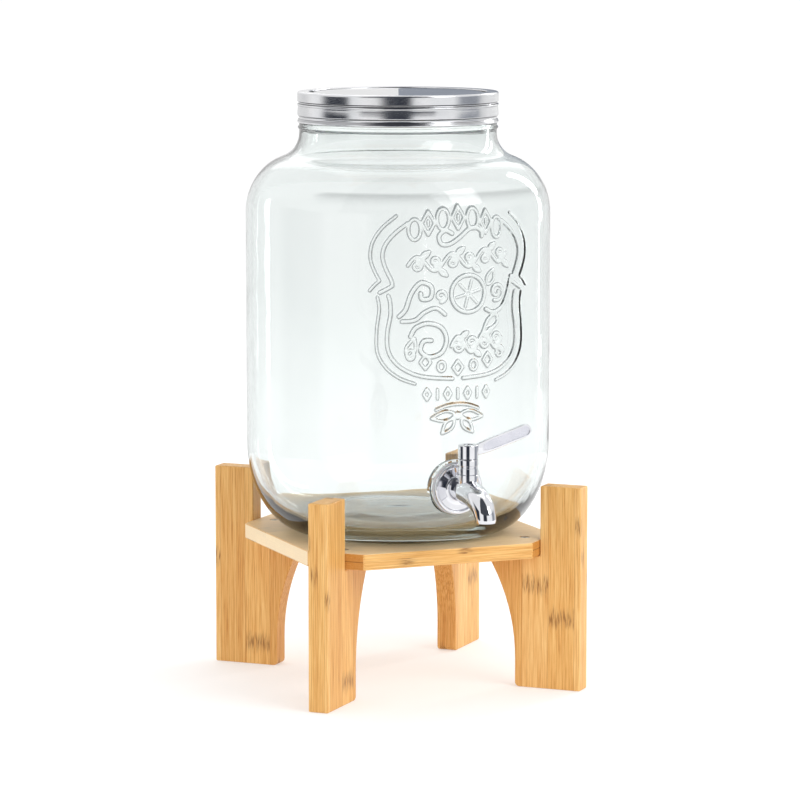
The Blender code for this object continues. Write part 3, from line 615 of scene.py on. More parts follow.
def vine(x0, x1, z, rise, tall, waves):
    """A running scroll with a curl in each of its hollows."""
    stem = [(x0 + (x1 - x0) * t, z + rise * t + tall / 2 * sin(2 * pi * waves * t))
            for t in (i / (18 * waves) for i in range(18 * waves + 1))]
    strokes = [stem]
    span = (x1 - x0) / waves
    for k in range(2 * waves):
        t = (k + 0.5) / (2 * waves)
        side = 1 if k % 2 == 0 else -1
        centre_x = x0 + (x1 - x0) * t
        centre_z = z + rise * t - side * tall * 0.08
        strokes.append(spiral(centre_x, centre_z, tall * 0.36, tall * 0.10,
                              pi / 2 * side, -side * 1.15))
        strokes += leaf(centre_x + span * 0.14, z + rise * t + side * tall * 0.45,
                        span * 0.26, span * 0.055, side * radians(38))
    return strokes


def cartouche():
    """The double line of the label, one side of it, from the top break to the bottom."""
    inner = [[(-36, 341), (-45, 334), (-51.5, 326), (-53.5, 318), (-51.5, 310), (-47.5, 301.5),
              (-46.6, 297.5)],
             [(-46.6, 297.5), (-50, 295.5), (-55.5, 292.6)],
             [(-49.5, 290.5), (-48.2, 286), (-48.0, 277), (-50.2, 264), (-49.5, 252), (-44, 243),
              (-34, 236.5), (-22, 233.2), (-4, 231.8)]]
    outer = [[(-44, 346), (-54, 337.5), (-60.5, 327.5), (-62, 317), (-59.5, 308.5), (-55.5, 301)],
             [(-55.5, 301), (-59, 298), (-62.5, 294)],
             [(-57, 289.5), (-55.8, 281), (-57.6, 266), (-57.2, 251), (-51.5, 240.5),
              (-42, 233), (-31, 228.8)]]
    return inner, outer


def relief_strokes():
    """Every stroke of the relief as (path, width, height), millimetres."""
    strokes = []

    def add(path, width=1.7, height=0.85):
        strokes.append((path, width, height))

    def mirrored(path):
        return [(-x, z) for x, z in path]

    inner, outer = cartouche()
    for paths, width in ((inner, 2.5), (outer, 2.0)):
        for path in paths:
            curve = smooth_path(path)
            add(curve, width, 1.1)
            add(mirrored(curve), width, 1.1)

    # an arched row of lozenges and rings closes the top
    for k in range(-3, 4):
        angle = k * radians(12.5)
        x, z = 49 * sin(angle) * 1.05, 344.5 - 24 * (1 - cos(angle)) * 1.6
        if k % 2:
            add(ring(x, z, 4.3, 7.2), 2.3, 1.1)
        else:
            add(lozenge(x, z, 4.6, 8.2), 2.2, 1.1)
            add([(x, z + 1.6), (x, z - 1.6)], 2.0, 1.0)

    # the flourish under it
    add(smooth_path([(-4.5, 333.4), (-9.5, 335.6), (-14.0, 331.8), (-12.4, 326.4), (-6.5, 326.0),
                     (1, 330.4), (8, 336.0), (13.5, 337.0), (18, 334.4), (18.5, 330.8)]), 2.9, 1.15)

    # first band: a light running scroll that climbs to the right
    for path in vine(-36, 40, 311.5, 6.5, 11.0, 3):
        add(path, 2.3, 1.05)

    # second band: a cut citrus wheel between two heavy scrolls
    add(ring(8.0, 291.0, 13.0, 13.0, 48), 2.8, 1.2)
    for k in range(6):
        a = k * pi / 3 + pi / 12
        add([(8.0 + 2.2 * cos(a), 291.0 + 2.2 * sin(a)), (8.0 + 9.6 * cos(a), 291.0 + 9.6 * sin(a))],
            1.9, 0.9)
    add(smooth_path([(-42, 276), (-37.5, 281), (-33.5, 292), (-27, 299.5), (-19.5, 296.5), (-20, 289),
                     (-26, 288), (-27, 292)]), 3.0, 1.2)
    add(smooth_path([(-40, 272.5), (-31, 273.5), (-24, 279), (-16, 281.5), (-9.5, 277)]), 2.7, 1.1)
    add(spiral(-12.5, 290.0, 4.4, 1.6, -pi / 2, 1.1), 2.4, 1.0)
    add(smooth_path([(22, 279.5), (29, 277), (37, 281), (42, 290.5), (45, 301.5)]), 2.9, 1.2)
    add(spiral(31.5, 291.5, 6.6, 1.8, -pi * 0.6, 1.3), 2.6, 1.1)
    for path in leaf(23.5, 296.5, 12.0, 3.0, radians(64)):
        add(path, 1.9, 1.0)

    # third band: a large leaf scroll that trails off to the right
    add(smooth_path([(-34, 262), (-30.5, 268), (-22, 271), (-12.5, 268), (-8.5, 259.5), (-12, 250.5),
                     (-21, 247.5), (-27, 252), (-25, 258.5), (-19.5, 259)]), 3.0, 1.2)
    for path in leaf(-36, 247.5, 14.0, 3.2, radians(70)):
        add(path, 2.1, 1.0)
    for path in vine(-5, 36, 254.5, 4.0, 12.5, 2):
        add(path, 2.5, 1.1)
    add(smooth_path([(20, 264), (24, 272), (30.5, 275.5), (32.5, 270), (28, 266)]), 2.6, 1.1)

    # a swag of beads along the bottom
    for k in range(-3, 4):
        angle = k * radians(12.5)
        x, z = 56 * sin(angle), 239.5 + 34 * (1 - cos(angle)) * 1.35
        if k % 2:
            add(ring(x, z, 2.7, 3.4), 2.0, 1.0)
        else:
            add(lozenge(x, z, 3.8, 5.0), 2.0, 1.0)

    # a short row under the panel, then the sprig above the tap
    for k in range(7):
        x = -22.5 + 7.5 * k
        add([(x, 224.6), (x, 217.8)] if k % 2 else lozenge(x, 221.2, 2.4, 4.0), 2.0, 0.95)
    for side in (1, -1):
        for x, z, length, width, angle in ((2.0, 206.5, 17.5, 3.4, -8), (3.0, 203.0, 13.0, 3.0, -48)):
            for path in leaf(x, z, length, width, radians(angle)):
                add([(side * px, pz) for px, pz in path], 2.0, 1.05)
    add(ring(0, 205.5, 1.5, 1.5), 2.6, 1.1)
    add(smooth_path([(-16, 210.0), (-8, 212.8), (0, 213.6), (8, 212.8), (16, 210.0)]), 2.2, 1.05)
    return strokes


def relief_field(across, up):
    """Height of the relief, in metres, on a grid of arc places and heights in millimetres."""
    field = np.zeros((len(up), len(across)))
    for path, width, height in relief_strokes():
        reach = width / 2 + RELIEF_SOFTNESS
        for (x0, z0), (x1, z1) in zip(path, path[1:]):
            columns = np.searchsorted(across, (min(x0, x1) - reach, max(x0, x1) + reach))
            rows = np.searchsorted(up, (min(z0, z1) - reach, max(z0, z1) + reach))
            if columns[0] == columns[1] or rows[0] == rows[1]:
                continue
            x = across[columns[0]:columns[1]][None, :]
            z = up[rows[0]:rows[1]][:, None]
            dx, dz = x1 - x0, z1 - z0
            length = dx * dx + dz * dz
            t = np.clip(((x - x0) * dx + (z - z0) * dz) / max(length, 1e-9), 0, 1)
            distance = np.hypot(x - x0 - t * dx, z - z0 - t * dz)
            side = np.clip((reach - distance) / (2 * RELIEF_SOFTNESS), 0, 1)
            bump = height * MM * side * side * (3 - 2 * side)
            part = field[rows[0]:rows[1], columns[0]:columns[1]]
            np.maximum(part, bump, out=part)
    return field


# ---- jar ---------------------------------------------------------------------
def shoulder_and_neck(shoulder, wall_r, rise, neck_r, steps):
    across = wall_r - NECK_R
    curve = arc(NECK_R, shoulder, across, rise, 0, SHOULDER_END, steps)
    end_r, end_z = curve[-1]
    slope = atan2(across * sin(SHOULDER_END), rise * cos(SHOULDER_END))
    radius = (end_r - neck_r) / (1 - cos(slope))
    return curve + arc(neck_r + radius, end_z + radius * sin(slope), radius, radius,
                       pi + slope, pi, steps // 2)[1:]


def jar_sections():
    """Outer and inner sides of the jar, both from the foot's middle up to the lip."""
    heel_r = JAR_R - HEEL_WIDTH
    punt_r = heel_r - FOOT_RING
    shoulder = JAR_HEIGHT - SHOULDER_DROP - SHOULDER_RISE
    finish_r = NECK_R - FINISH_STEP
    mouth_r = finish_r - FINISH_WALL
    finish = JAR_HEIGHT - FINISH_HEIGHT
    outer = [(0, PUNT * 1.5), (punt_r * 0.85, PUNT), (punt_r * 0.97, PUNT * 0.45), (punt_r + LIP, 0)]
    outer += [(heel_r - LIP, 0)] + arc(heel_r, HEEL_HEIGHT, HEEL_WIDTH, HEEL_HEIGHT, radians(-90), 0, 40)
    outer += shoulder_and_neck(shoulder, JAR_R, SHOULDER_RISE, NECK_R, 30)
    outer += [(NECK_R + NECK_BEAD * (1 - cos(2 * pi * k / 10)) / 2,
               finish - NECK_BEAD_DROP - NECK_BEAD_WIDTH * (0.5 - k / 10)) for k in range(11)]
    outer += [(NECK_R, finish - LIP), (NECK_R - FINISH_STEP / 3, finish - LIP / 2), (finish_r, finish)]
    outer += arc(finish_r - LIP, JAR_HEIGHT - LIP, LIP, LIP, 0, radians(90), 6)
    inner = [(0, FLOOR + PUNT), (punt_r / 2, FLOOR + PUNT * 0.75)]
    inner += arc(heel_r, HEEL_HEIGHT, JAR_R - WALL - heel_r, HEEL_HEIGHT - FLOOR, radians(-90), 0, 36)
    inner += shoulder_and_neck(shoulder, JAR_R - WALL, SHOULDER_RISE - WALL, NECK_R - WALL - LIP, 24)
    inner += [(mouth_r, finish)]
    inner += arc(mouth_r + LIP, JAR_HEIGHT - LIP, LIP, LIP, radians(180), radians(90), 5)
    return outer, inner


def jar_columns():
    """Angles round the jar, from -Y towards +X, close together where the relief is."""
    fine = ceil(2 * RELIEF_HALF_ANGLE * JAR_R / (RELIEF_CELL * MM))
    coarse = ceil((2 * pi - 2 * RELIEF_HALF_ANGLE) / radians(2.5))
    front = np.linspace(-RELIEF_HALF_ANGLE, RELIEF_HALF_ANGLE, fine, endpoint=False)
    rest = np.linspace(RELIEF_HALF_ANGLE, 2 * pi - RELIEF_HALF_ANGLE, coarse, endpoint=False)
    return np.concatenate((front, rest)), fine


def thread(height, angles):
    """How far the screw thread stands out of the finish at each angle."""
    top = JAR_HEIGHT - 3 * LIP
    bottom = JAR_HEIGHT - FINISH_HEIGHT + 2 * LIP
    if not bottom - THREAD_PITCH < height < top:
        return np.zeros_like(angles)
    turn = (height - bottom) / THREAD_PITCH - angles / (2 * pi)
    off = np.abs(turn - np.round(turn)) * THREAD_PITCH
    ends = np.clip((height - bottom) / LIP, 0, 1) * np.clip((top - height) / LIP, 0, 1)
    side = np.clip((THREAD_WIDTH - off) / THREAD_WIDTH, 0, 1)
    return THREAD_HEIGHT * side * side * (3 - 2 * side) * ends


def jar_mesh():
    outer, inner = jar_sections()
    low, high = RELIEF_LOW * MM - FOOT_Z, RELIEF_HIGH * MM - FOOT_Z
    dense = []
    for (r0, z0), (r1, z1) in zip(outer, outer[1:]):
        relief_part = r0 > JAR_R * 0.8 and z1 > low and z0 < high
        in_finish = z0 > JAR_HEIGHT - FINISH_HEIGHT - LIP / 2 and r0 > NECK_R * 0.9
        spacing = RELIEF_CELL * MM if relief_part else (0.0005 if in_finish else 0.006)
        dense += spread([(r0, z0), (r1, z1)], spacing)[:-1]
    dense.append(outer[-1])
    inside = spread(inner, 0.006)

    angles, fine = jar_columns()
    across = angles[:fine] * JAR_R / MM
    heights = np.array([z for _, z in dense]) + FOOT_Z
    wall = [i for i, (r, z) in enumerate(dense) if r > JAR_R * 0.8 and low < z < high]
    field = np.zeros((len(dense), len(angles)))
    field[wall[0]:wall[-1] + 1, :fine] = relief_field(across, heights[wall[0]:wall[-1] + 1] / MM)

    points, rings = [], []

    def add_ring(radius, height, circle):
        """The circle's points, or a single one where the wall meets the axis."""
        made = [(0, JAR_Y, FOOT_Z + height)] if radius < 1e-9 else list(circle)
        rings.append(range(len(points), len(points) + len(made)))
        points.extend(made)

    for i, (radius, height) in enumerate(dense):
        lifted = radius + field[i] + (thread(height, angles) if radius < NECK_R else 0)
        add_ring(radius, height, zip(lifted * np.sin(angles), JAR_Y - lifted * np.cos(angles),
                                     np.full(len(angles), FOOT_Z + height)))
    for radius, height in inside[::-1][1:]:
        add_ring(radius, height, [(radius * sin(a), JAR_Y - radius * cos(a), FOOT_Z + height)
                                  for a in angles])
    faces = []
    count = len(angles)
    for a, b in zip(rings, rings[1:]):
        for i in range(count):
            j = (i + 1) % count
            if len(a) == 1:
                faces.append((a[0], b[j], b[i]))
            elif len(b) == 1:
                faces.append((a[i], a[j], b[0]))
            else:
                faces.append((a[i], a[j], b[j], b[i]))
    mesh = bpy.data.meshes.new("jar")
    mesh.from_pydata(points, [], faces)
    return mesh


def make_jar(look):
    back = PAD_FACE - PAD_THICKNESS
    edge = 0.0008
    off_seam = OUTWARD @ HALF_STEP
    pad = lathe([(0, PAD_FACE + edge), (PAD_R - edge, PAD_FACE + edge), (PAD_R, PAD_FACE - edge),
                 (PAD_R, back), (0, back)], FINE_SIDES, False, off_seam)
    inner_spot = PAD_R - WALL / 2
    opening = lathe([(0, PAD_FACE + PAD_THICKNESS), (PAD_R + edge, PAD_FACE + PAD_THICKNESS),
                     (PAD_R + edge, PAD_FACE), (SHANK_HOLE_R, PAD_FACE), (SHANK_HOLE_R, back),
                     (inner_spot, back), (inner_spot, back - PAD_THICKNESS),
                     (0, back - PAD_THICKNESS)], FINE_SIDES, False, off_seam)
    mesh = combined(jar_mesh(), ("UNION", pad), ("DIFFERENCE", opening))
    mesh.shade_smooth()
    work = bmesh.new()
    work.from_mesh(mesh)
    tap = Vector((0, TAP_Z))
    for seam in work.edges:
        centre = (seam.verts[0].co + seam.verts[1].co) / 2
        near = (Vector((centre.x, centre.z)) - tap).length < PAD_R * 1.15 and centre.y < 0
        if near and seam.is_manifold and seam.calc_face_angle(0) > radians(30):
            seam.smooth = False
    work.to_mesh(mesh)
    work.free()
    finished("jar_shell", mesh, look, "jar", "glass_jar", "clear_glass", sharp=0)


# ---- tap ---------------------------------------------------------------------
def rod(radius, top, bottom, sides, place):
    """A plain cylinder, to cut round holes with."""
    return lathe([(0, top), (radius, top), (radius, bottom), (0, bottom)], sides, False, place)


def make_tap(look):
    front = FLANGE_BACK + FLANGE_THICKNESS
    dish = FLANGE_BACK + FLANGE_THICKNESS / 2
    edge = FLANGE_RIM / 3
    end = JAR_Y - TAP_HIGH.y
    lip_r = FLANGE_R - FLANGE_RIM
    body = [(0, VALVE_REACH + TOWER_R / 2), (SPOUT_ROOT_R - GAP, VALVE_REACH + TOWER_R / 2),
            (SPOUT_ROOT_R - GAP, VALVE_REACH - TOWER_R / 4),
            (BARREL_R, VALVE_REACH - TOWER_R * 0.9), (BARREL_R, dish + 1.6 * FLANGE_RIM)]
    body += arc(BARREL_R + FLANGE_RIM, dish + FLANGE_RIM, FLANGE_RIM, FLANGE_RIM,
                radians(180), radians(270), 8)
    body += arc(lip_r - edge, dish + edge, edge, edge, radians(-90), 0, 4)
    body += arc(lip_r + edge, front - edge, edge, edge, radians(180), radians(90), 4)
    body += arc(FLANGE_R - edge, front - edge, edge, edge, radians(90), 0, 6)
    body += [(FLANGE_R, FLANGE_BACK + edge / 2), (FLANGE_R - edge / 2, FLANGE_BACK), (SHANK_R, FLANGE_BACK)]
    height = FLANGE_BACK - 2 * SHANK_PITCH
    while height > end + SHANK_PITCH:
        body += [(SHANK_R, height), (SHANK_R - SHANK_PITCH / 3, height - SHANK_PITCH / 2)]
        height -= SHANK_PITCH
    body += [(SHANK_R - SHANK_PITCH / 3, end), (SHANK_BORE_R, end),
             (SHANK_BORE_R, VALVE_REACH - CHAMBER_R / 2), (0, VALVE_REACH - CHAMBER_R / 2)]
    solid = lathe(body, FINE_SIDES, False, OUTWARD)

    steps = 28
    path = [Vector((0, VALVE_Y - reach, TAP_Z + height)) for reach, height in
            arc(0, -SPOUT_DROP, SPOUT_REACH, SPOUT_DROP, radians(90), 0, steps)]
    bore = path[:-1] + [path[-1] - Vector((0, 0, SPOUT_END_R))]
    taper = [SPOUT_ROOT_R + (SPOUT_END_R - SPOUT_ROOT_R) * i / steps for i in range(steps + 1)]
    taper[-1] -= edge / 2
    spout = sweep(path, taper, FINE_SIDES)
    outlet = sweep(bore, [SPOUT_BORE_R] * (steps + 1), 48)
    tower = [(0, TOWER_TOP), (TOWER_R - edge / 2, TOWER_TOP), (TOWER_R, TOWER_TOP - edge / 2),
             (TOWER_R, TOWER_R / 2), (0, TOWER_R / 2)]
    chamber = rod(CHAMBER_R, 2 * TOWER_TOP, CHAMBER_FLOOR, FINE_SIDES, VALVE @ HALF_STEP)
    mesh = combined(solid, ("UNION", spout), ("UNION", lathe(tower, FINE_SIDES, False, VALVE)),
                    ("DIFFERENCE", combined(chamber, ("UNION", outlet))))
    finished("tap_casting", mesh, look, "jar", "tap_body", "chrome", sharp=28)


def disc_ring(inner, outer, low, high, edge, place=Matrix()):
    """A flat ring whose outer edges are rolled."""
    section = [(inner, high)] + arc(outer - edge, high - edge, edge, edge, radians(90), 0, 5)
    section += arc(outer - edge, low + edge, edge, edge, 0, radians(-90), 5) + [(inner, low)]
    return lathe(section, FINE_SIDES, True, place)


def make_tap_rings(grey, nylon):
    for name, low, high, look, slot_name in (
            ("outer_gasket", SEAL_LOW, SEAL_HIGH, grey, "grey_silicone"),
            ("inner_gasket", INNER_SEAL_LOW, INNER_SEAL_HIGH, grey, "grey_silicone"),
            ("shank_washer", WASHER_LOW, WASHER_HIGH, nylon, "white_nylon")):
        mesh = disc_ring(SHANK_HOLE_R, (high.x - low.x) / 2, JAR_Y - high.y, JAR_Y - low.y,
                         (high.y - low.y) / 3, OUTWARD)
        finished(name + "_ring", mesh, look, "jar", name, slot_name)


def make_nut(look):
    back, front = JAR_Y - NUT_HIGH.y, JAR_Y - NUT_LOW.y
    corner_r = (NUT_HIGH.z - NUT_LOW.z) / 2
    flat_r = (NUT_HIGH.x - NUT_LOW.x) / 2
    small = min(corner_r, flat_r)
    outline = [(small / cos(pi / 6) * cos(a), small / cos(pi / 6) * sin(a))
               for a in (pi / 6 + k * pi / 3 for k in range(6))]
    bar = plate(outline, front - back, OUTWARD @ Matrix.Translation((0, 0, (front + back) / 2)))
    dome = lathe([(0, front + 0.001), (small * 1.02, front + 0.001), (small * 1.18, front - 0.0012),
                  (small * 1.18, back + 0.0012), (small * 1.02, back - 0.001), (0, back - 0.001)],
                 FINE_SIDES, False, OUTWARD)
    bore = rod(SHANK_HOLE_R, front + 0.01, back - 0.01, FINE_SIDES, OUTWARD @ HALF_STEP)
    mesh = combined(rounded(bar, 0.0006), ("INTERSECT", dome), ("DIFFERENCE", bore))
    finished("lock_nut_hex", mesh, look, "jar", "lock_nut", "white_nylon")


# ---- valve -------------------------------------------------------------------
def make_bonnet(look):
    bore, edge, bottom = STEM_R + GAP, 0.0006, TOWER_TOP + GAP
    spigot, foot = CHAMBER_R - GAP, BONNET_LOW.z - TAP_Z
    profile = [(bore, BONNET_TOP)] + arc(TOWER_R - edge, BONNET_TOP - edge, edge, edge, radians(90), 0, 5)
    groove = (BONNET_TOP + bottom) / 2
    profile += [(TOWER_R, groove + 0.0010), (TOWER_R - 0.0004, groove + 0.0007),
                (TOWER_R - 0.0004, groove - 0.0007), (TOWER_R, groove - 0.0010),
                (TOWER_R, bottom + edge / 2), (TOWER_R - edge / 2, bottom), (spigot, bottom),
                (spigot, foot), (bore, foot)]
    finished("bonnet_sleeve", lathe(profile, FINE_SIDES, True, VALVE), look,
             "jar", "valve_bonnet", "chrome")


def blade_outline(inset=0.0):
    """The lever's blade from the side of its flat face, or its border moved in by inset."""
    half = LEVER_BLADE / 2 - inset
    end = LEVER_HIGH.x / cos(LEVER_RISE) - LEVER_BLADE / 2 - GAP
    root = TOWER_R / 2 + inset * 6
    root_half = LEVER_ROOT / 2 - inset
    flare = LEVER_FLARE + inset
    upper = [(flare - (flare - root) * i / 16, half - (half - root_half) * (i / 16) ** 2)
             for i in range(17)]
    tip = arc(end, 0, half, half, radians(-90), radians(90), 28)
    return tip + upper + [(x, -y) for x, y in upper[::-1]]


def make_lever(look, panel_look):
    edge = 0.0009
    hub = [(0, HUB_TOP)] + arc(TOWER_R - edge, HUB_TOP - edge, edge, edge, radians(90), 0, 6)
    hub += [(TOWER_R, HUB_BOTTOM + edge / 2), (TOWER_R - edge / 2, HUB_BOTTOM), (0, HUB_BOTTOM)]
    middle = (HUB_BOTTOM + HUB_TOP) / 2 - TOWER_R * tan(LEVER_RISE) / 2
    tilt = (VALVE @ Matrix.Translation((0, 0, middle)) @ Matrix.Rotation(-LEVER_RISE, 4, "Y")
            @ Matrix.Rotation(radians(90), 4, "X"))
    blade = rounded(plate(blade_outline(), LEVER_THICKNESS, tilt), 0.0005)
    steps = [("UNION", blade)]
    for side in (1, -1):
        face = Matrix.Translation((0, 0, side * LEVER_THICKNESS / 2))
        steps.append(("DIFFERENCE", plate(blade_outline(LEVER_BORDER), 2 * LEVER_RECESS, tilt @ face)))
    for radius, top, bottom in ((LEVER_SCREW_R, 2 * HUB_TOP, LEVER_SCREW_RECESS),
                                (STEM_R, HUB_BOTTOM + 0.0065, HUB_BOTTOM - 0.005)):
        steps.append(("DIFFERENCE", rod(radius + 0.0004, top, bottom, 48, VALVE @ HALF_STEP)))
    mesh = combined(lathe(hub, FINE_SIDES, False, VALVE), *steps)
    finished("lever_casting", mesh, look, "valve", "lever", "chrome", sharp=28)
    mesh.materials.append(panel_look)
    floor_y = LEVER_THICKNESS / 2 - LEVER_RECESS
    for face in mesh.polygons:
        on_panel = abs(abs(face.center.y - VALVE_Y) - floor_y) < LEVER_RECESS / 5
        if on_panel and abs(face.normal.y) > 0.95 and face.center.x > TOWER_R:
            face.material_index = 1


# ---- lid ---------------------------------------------------------------------
def make_lid(steel, polished, seal):
    top, bottom = BAND_HIGH.z, BAND_LOW.z
    rim = BAND_R - RIM_WIDTH
    wall = BAND_R - GROOVE - SHEET
    side = [(rim, top - SHEET * 0.6), (rim + SHEET / 3, top - SHEET * 0.15), (rim + SHEET, top)]
    side += arc(BAND_R - EDGE_R, top - EDGE_R, EDGE_R, EDGE_R, radians(90), 0, 10)
    side += smooth_path([(BAND_R - inset * GROOVE, top - depth * BAND_STEP)
                         for depth, inset in BAND_SHAPE], 5)
    side += arc(BAND_R - BEAD_R, bottom + BEAD_R, BEAD_R, BEAD_R, radians(50), radians(-90), 12)
    side += [(wall, bottom + SHEET / 4), (wall, top - SHEET), (rim, top - SHEET)]
    finished("screw_band", lathe(side, LID_SIDES, True, JAR_AXIS), steel,
             "lid_band", "lid_band", "lid_steel")

    low, high = DISC_LOW.z, DISC_HIGH.z
    step = rim - 0.0036
    face = [(0, high), (step * 0.55, high - 0.00005), (step - 0.0036, high - 0.0004),
            (step - 0.0024, high - 0.0003), (step - 0.0012, high), (step, high - 0.0001),
            (step + 0.0008, high - 0.0004), (DISC_R, high - 0.0004)]
    under = [(r, max(z - SHEET, low)) for r, z in face[::-1]]
    finished("lid_plate", lathe(face + under, LID_SIDES, False, JAR_AXIS), polished,
             "lid_disc", "lid_disc", "lid_steel")
    gasket = disc_ring(DISC_R - SEAL_WIDTH, DISC_R, LID_SEAL_LOW.z, LID_SEAL_HIGH.z, 0.0005, JAR_AXIS)
    finished("lid_seal", gasket, seal, "lid_gasket", "lid_gasket", "clear_silicone")


# ---- stand and small CAD pieces ----------------------------------------------
def dress(node, look):
    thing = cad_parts[node]
    thing.data.materials.clear()
    thing.data.materials.append(look)


def dress_stand(screw):
    middle = (0, JAR_Y, 0)
    for name, degrees in LEG_ANGLES.items():
        look = bamboo("bamboo_" + name, 2, 0, 1, middle, radians(degrees))
        dress("leg_" + name, look)
        dress("leg_screw_" + name, screw)
    # ends=True also gives the board's top painted light
    dress("stand_board", bamboo("bamboo_board", 0, 1, 2, middle, 0.0, ends=True))


# ---- studio ------------------------------------------------------------------
def panel(name, azimuth, elevation, distance, width, height, power):
    """A softbox that faces the object, its azimuth measured from the camera's."""
    light = bpy.data.lights.new(name, "AREA")
    light.shape = "RECTANGLE"
    light.size, light.size_y = width, height
    light.energy = power
    thing = placed(name, light)
    around = CAMERA_AZIMUTH + radians(azimuth)
    up = radians(elevation)
    offset = Vector((sin(around) * cos(up), -cos(around) * cos(up), sin(up))) * distance
    thing.location = Vector((0, JAR_Y, LIGHTS_AIM_Z)) + offset
    thing.rotation_euler = (-offset).to_track_quat("-Z", "Y").to_euler()


def make_world():
    """An even white tent."""
    world = bpy.data.worlds.new("studio")
    bpy.context.scene.world = world
    world.use_nodes = True
    graph = Graph(world.node_tree)
    height = graph.remap(graph.split(graph.node("ShaderNodeTexCoord").outputs["Generated"])[2], -0.1, 1.0)
    graph.fill(world.node_tree.nodes["Background"], Strength=1.0,
               Color=graph.ramp(height, (0.0, (0.97,) * 3), (1.0, (1.02,) * 3)))


def make_floor():
    mesh = bpy.data.meshes.new("floor")
    work = bmesh.new()
    bmesh.ops.create_circle(work, cap_ends=True, radius=FLOOR_R, segments=96)
    work.to_mesh(mesh)
    work.free()
    floor = placed("floor", mesh)
    floor.location = (0, 0, -0.0002)
    made, graph, shader, place = new_material("floor_paper")
    cloud = graph.noise(place["Object"], 0.8, 2)
    graph.fill(shader, Base_Color=graph.ramp(cloud, (0.3, (0.60,) * 3), (0.7, (0.61,) * 3)),
               Emission_Color=(1, 1, 1, 1), Emission_Strength=0.40, Roughness=0.9,
               Specular_IOR_Level=0.1)
    mesh.materials.append(made)


def glowing(name, colour=None, bands=None):
    """A material that only shines, in one colour or in bands round the jar's axis."""
    made = bpy.data.materials.new(name)
    made.use_nodes = True
    graph = Graph(made.node_tree)
    made.node_tree.nodes.remove(made.node_tree.nodes["Principled BSDF"])
    shine = graph.node("ShaderNodeEmission")
    if bands:
        axes = graph.split(graph.node("ShaderNodeTexCoord").outputs["Object"])
        azimuth = graph.math("ARCTAN2", axes[0], graph.times(axes[1], -1.0))
        share = graph.plus(graph.math("DIVIDE", azimuth, 2 * pi), 0.5)
        graph.fill(shine, Color=graph.ramp(share, *bands))
    else:
        graph.fill(shine, Color=(*colour, 1))
    graph.feed(made.node_tree.nodes["Material Output"].inputs["Surface"], shine.outputs[0])
    return made


def card(name, corners, look):
    """A flat or curved sheet of the studio that only reflections see."""
    mesh = bpy.data.meshes.new(name)
    count = len(corners) // 2
    mesh.from_pydata(corners, [], [(i, i + 1, count + i + 1, count + i) for i in range(count - 1)])
    mesh.materials.append(look)
    sheet = placed(name, mesh)
    sheet.location = (0, JAR_Y, 0)
    sheet.rotation_euler = (0, 0, CAMERA_AZIMUTH)
    sheet.visible_camera = sheet.visible_diffuse = False
    sheet.visible_shadow = sheet.visible_transmission = False


def make_cards():
    """What the metal and the glass mirror: white walls with dark gaps, as round a studio table."""
    around = [radians(5 * k) for k in range(73)]
    wall = [(TENT_R * sin(a), -TENT_R * cos(a), z) for z in (0.0, TENT_HEIGHT) for a in around]
    card("tent_wall", wall, glowing("tent_bands", bands=TENT_BANDS))
    back = [(x, BACK_CARD_Y, z) for z in BACK_CARD_Z for x in (0.0, BACK_CARD_WIDTH)]
    card("back_card", back, glowing("back_grey", (0.30, 0.325, 0.375)))
    front = [radians(6 * k) for k in range(-7, 8)]
    hood = [(reach * sin(a), -reach * cos(a), z)
            for reach, z in ((TENT_R, TENT_HEIGHT), (HOOD_REACH, HOOD_Z)) for a in front]
    card("front_hood", hood, glowing("hood_dark", (0.07, 0.075, 0.09)))


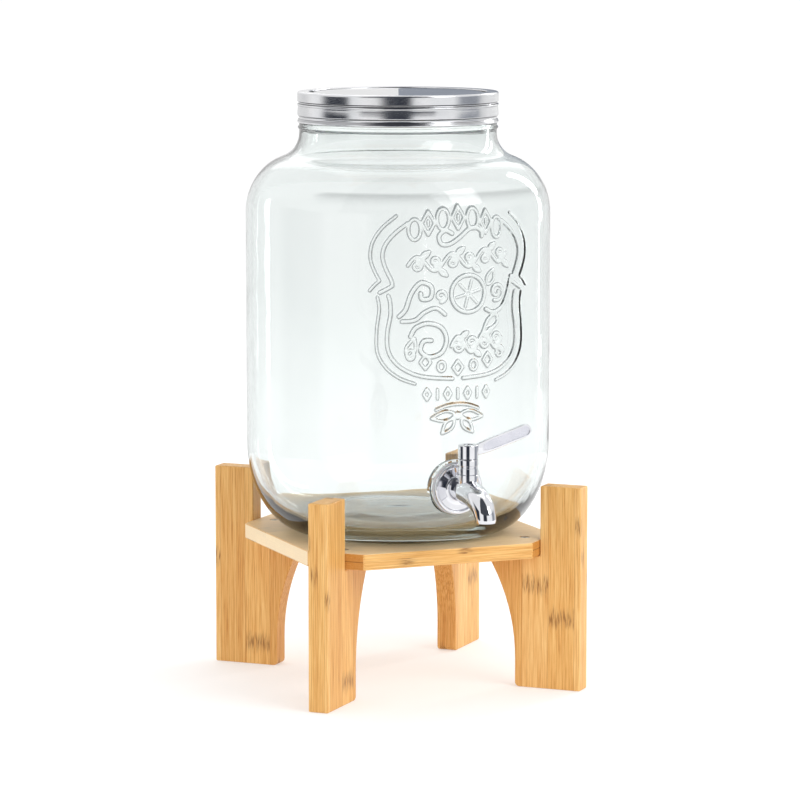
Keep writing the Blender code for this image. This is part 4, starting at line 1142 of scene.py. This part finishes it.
def make_camera():
    camera = placed("camera", bpy.data.cameras.new("camera"))
    aside = Vector((cos(CAMERA_AZIMUTH), sin(CAMERA_AZIMUTH), 0))
    target = Vector((0, JAR_Y, TARGET_Z)) + aside * TARGET_ASIDE
    flat_way = Vector((sin(CAMERA_AZIMUTH), -cos(CAMERA_AZIMUTH), 0)) * cos(CAMERA_ELEVATION)
    camera.location = target + (flat_way + Vector((0, 0, sin(CAMERA_ELEVATION)))) * CAMERA_DISTANCE
    camera.rotation_euler = (target - camera.location).to_track_quat("-Z", "Y").to_euler()
    camera.data.lens = CAMERA_LENS
    camera.data.sensor_width = 36
    camera.data.clip_start = 0.05
    camera.data.clip_end = 200
    bpy.context.scene.camera = camera


glass = glass_material()
chrome = metal("tap_chrome", (0.70, 0.71, 0.74), (0.80, 0.80, 0.83), (0.03, 0.09), (1, 1, 1), 0.05)
satin = metal("lever_panel", (0.62, 0.63, 0.69), (0.70, 0.70, 0.76), (0.22, 0.32), (1, 1, 1), 0.1, 90)
# the last argument: heights on the lid band whose groove slopes get painted shade
steel = metal("lid_metal", (0.66, 0.67, 0.69), (0.78, 0.78, 0.79), (0.15, 0.26), (1, 1, 12), 0.12, 40,
              (BAND_LOW.z + 0.0012, BAND_HIGH.z - 0.0035))
polished = metal("lid_plate_metal", (0.68, 0.69, 0.71), (0.78, 0.78, 0.79), (0.03, 0.07), (1, 1, 1),
                 0.02, 30)
screw = metal("screw_metal", (0.42, 0.37, 0.30), (0.60, 0.54, 0.45), (0.25, 0.42), (1, 1, 1), 0.2, 400)
grey_silicone = soft_material("gasket_grey", (0.50, 0.51, 0.53), (0.62, 0.63, 0.65), 0.38, 0.3)
clear_silicone = soft_material("gasket_clear", (0.80, 0.81, 0.81), (0.88, 0.89, 0.89), 0.34, 0.4)
nylon = soft_material("nut_nylon", (0.78, 0.78, 0.75), (0.86, 0.86, 0.84), 0.40, 0.3)
rubber = soft_material("ring_rubber", (0.02, 0.02, 0.02), (0.045, 0.045, 0.045), 0.5, 0.0)

make_jar(glass)
make_tap(chrome)
make_tap_rings(grey_silicone, nylon)
make_nut(nylon)
make_bonnet(chrome)
make_lever(chrome, satin)
make_lid(steel, polished, clear_silicone)
dress_stand(screw)
dress("valve_plug", chrome)
dress("lever_screw", chrome)
dress("upper_o_ring", rubber)
dress("lower_o_ring", rubber)

make_floor()
make_cards()
make_world()
make_camera()
for light_values in LIGHTS:
    panel(*light_values)
bpy.context.scene.view_settings.view_transform = "Standard"
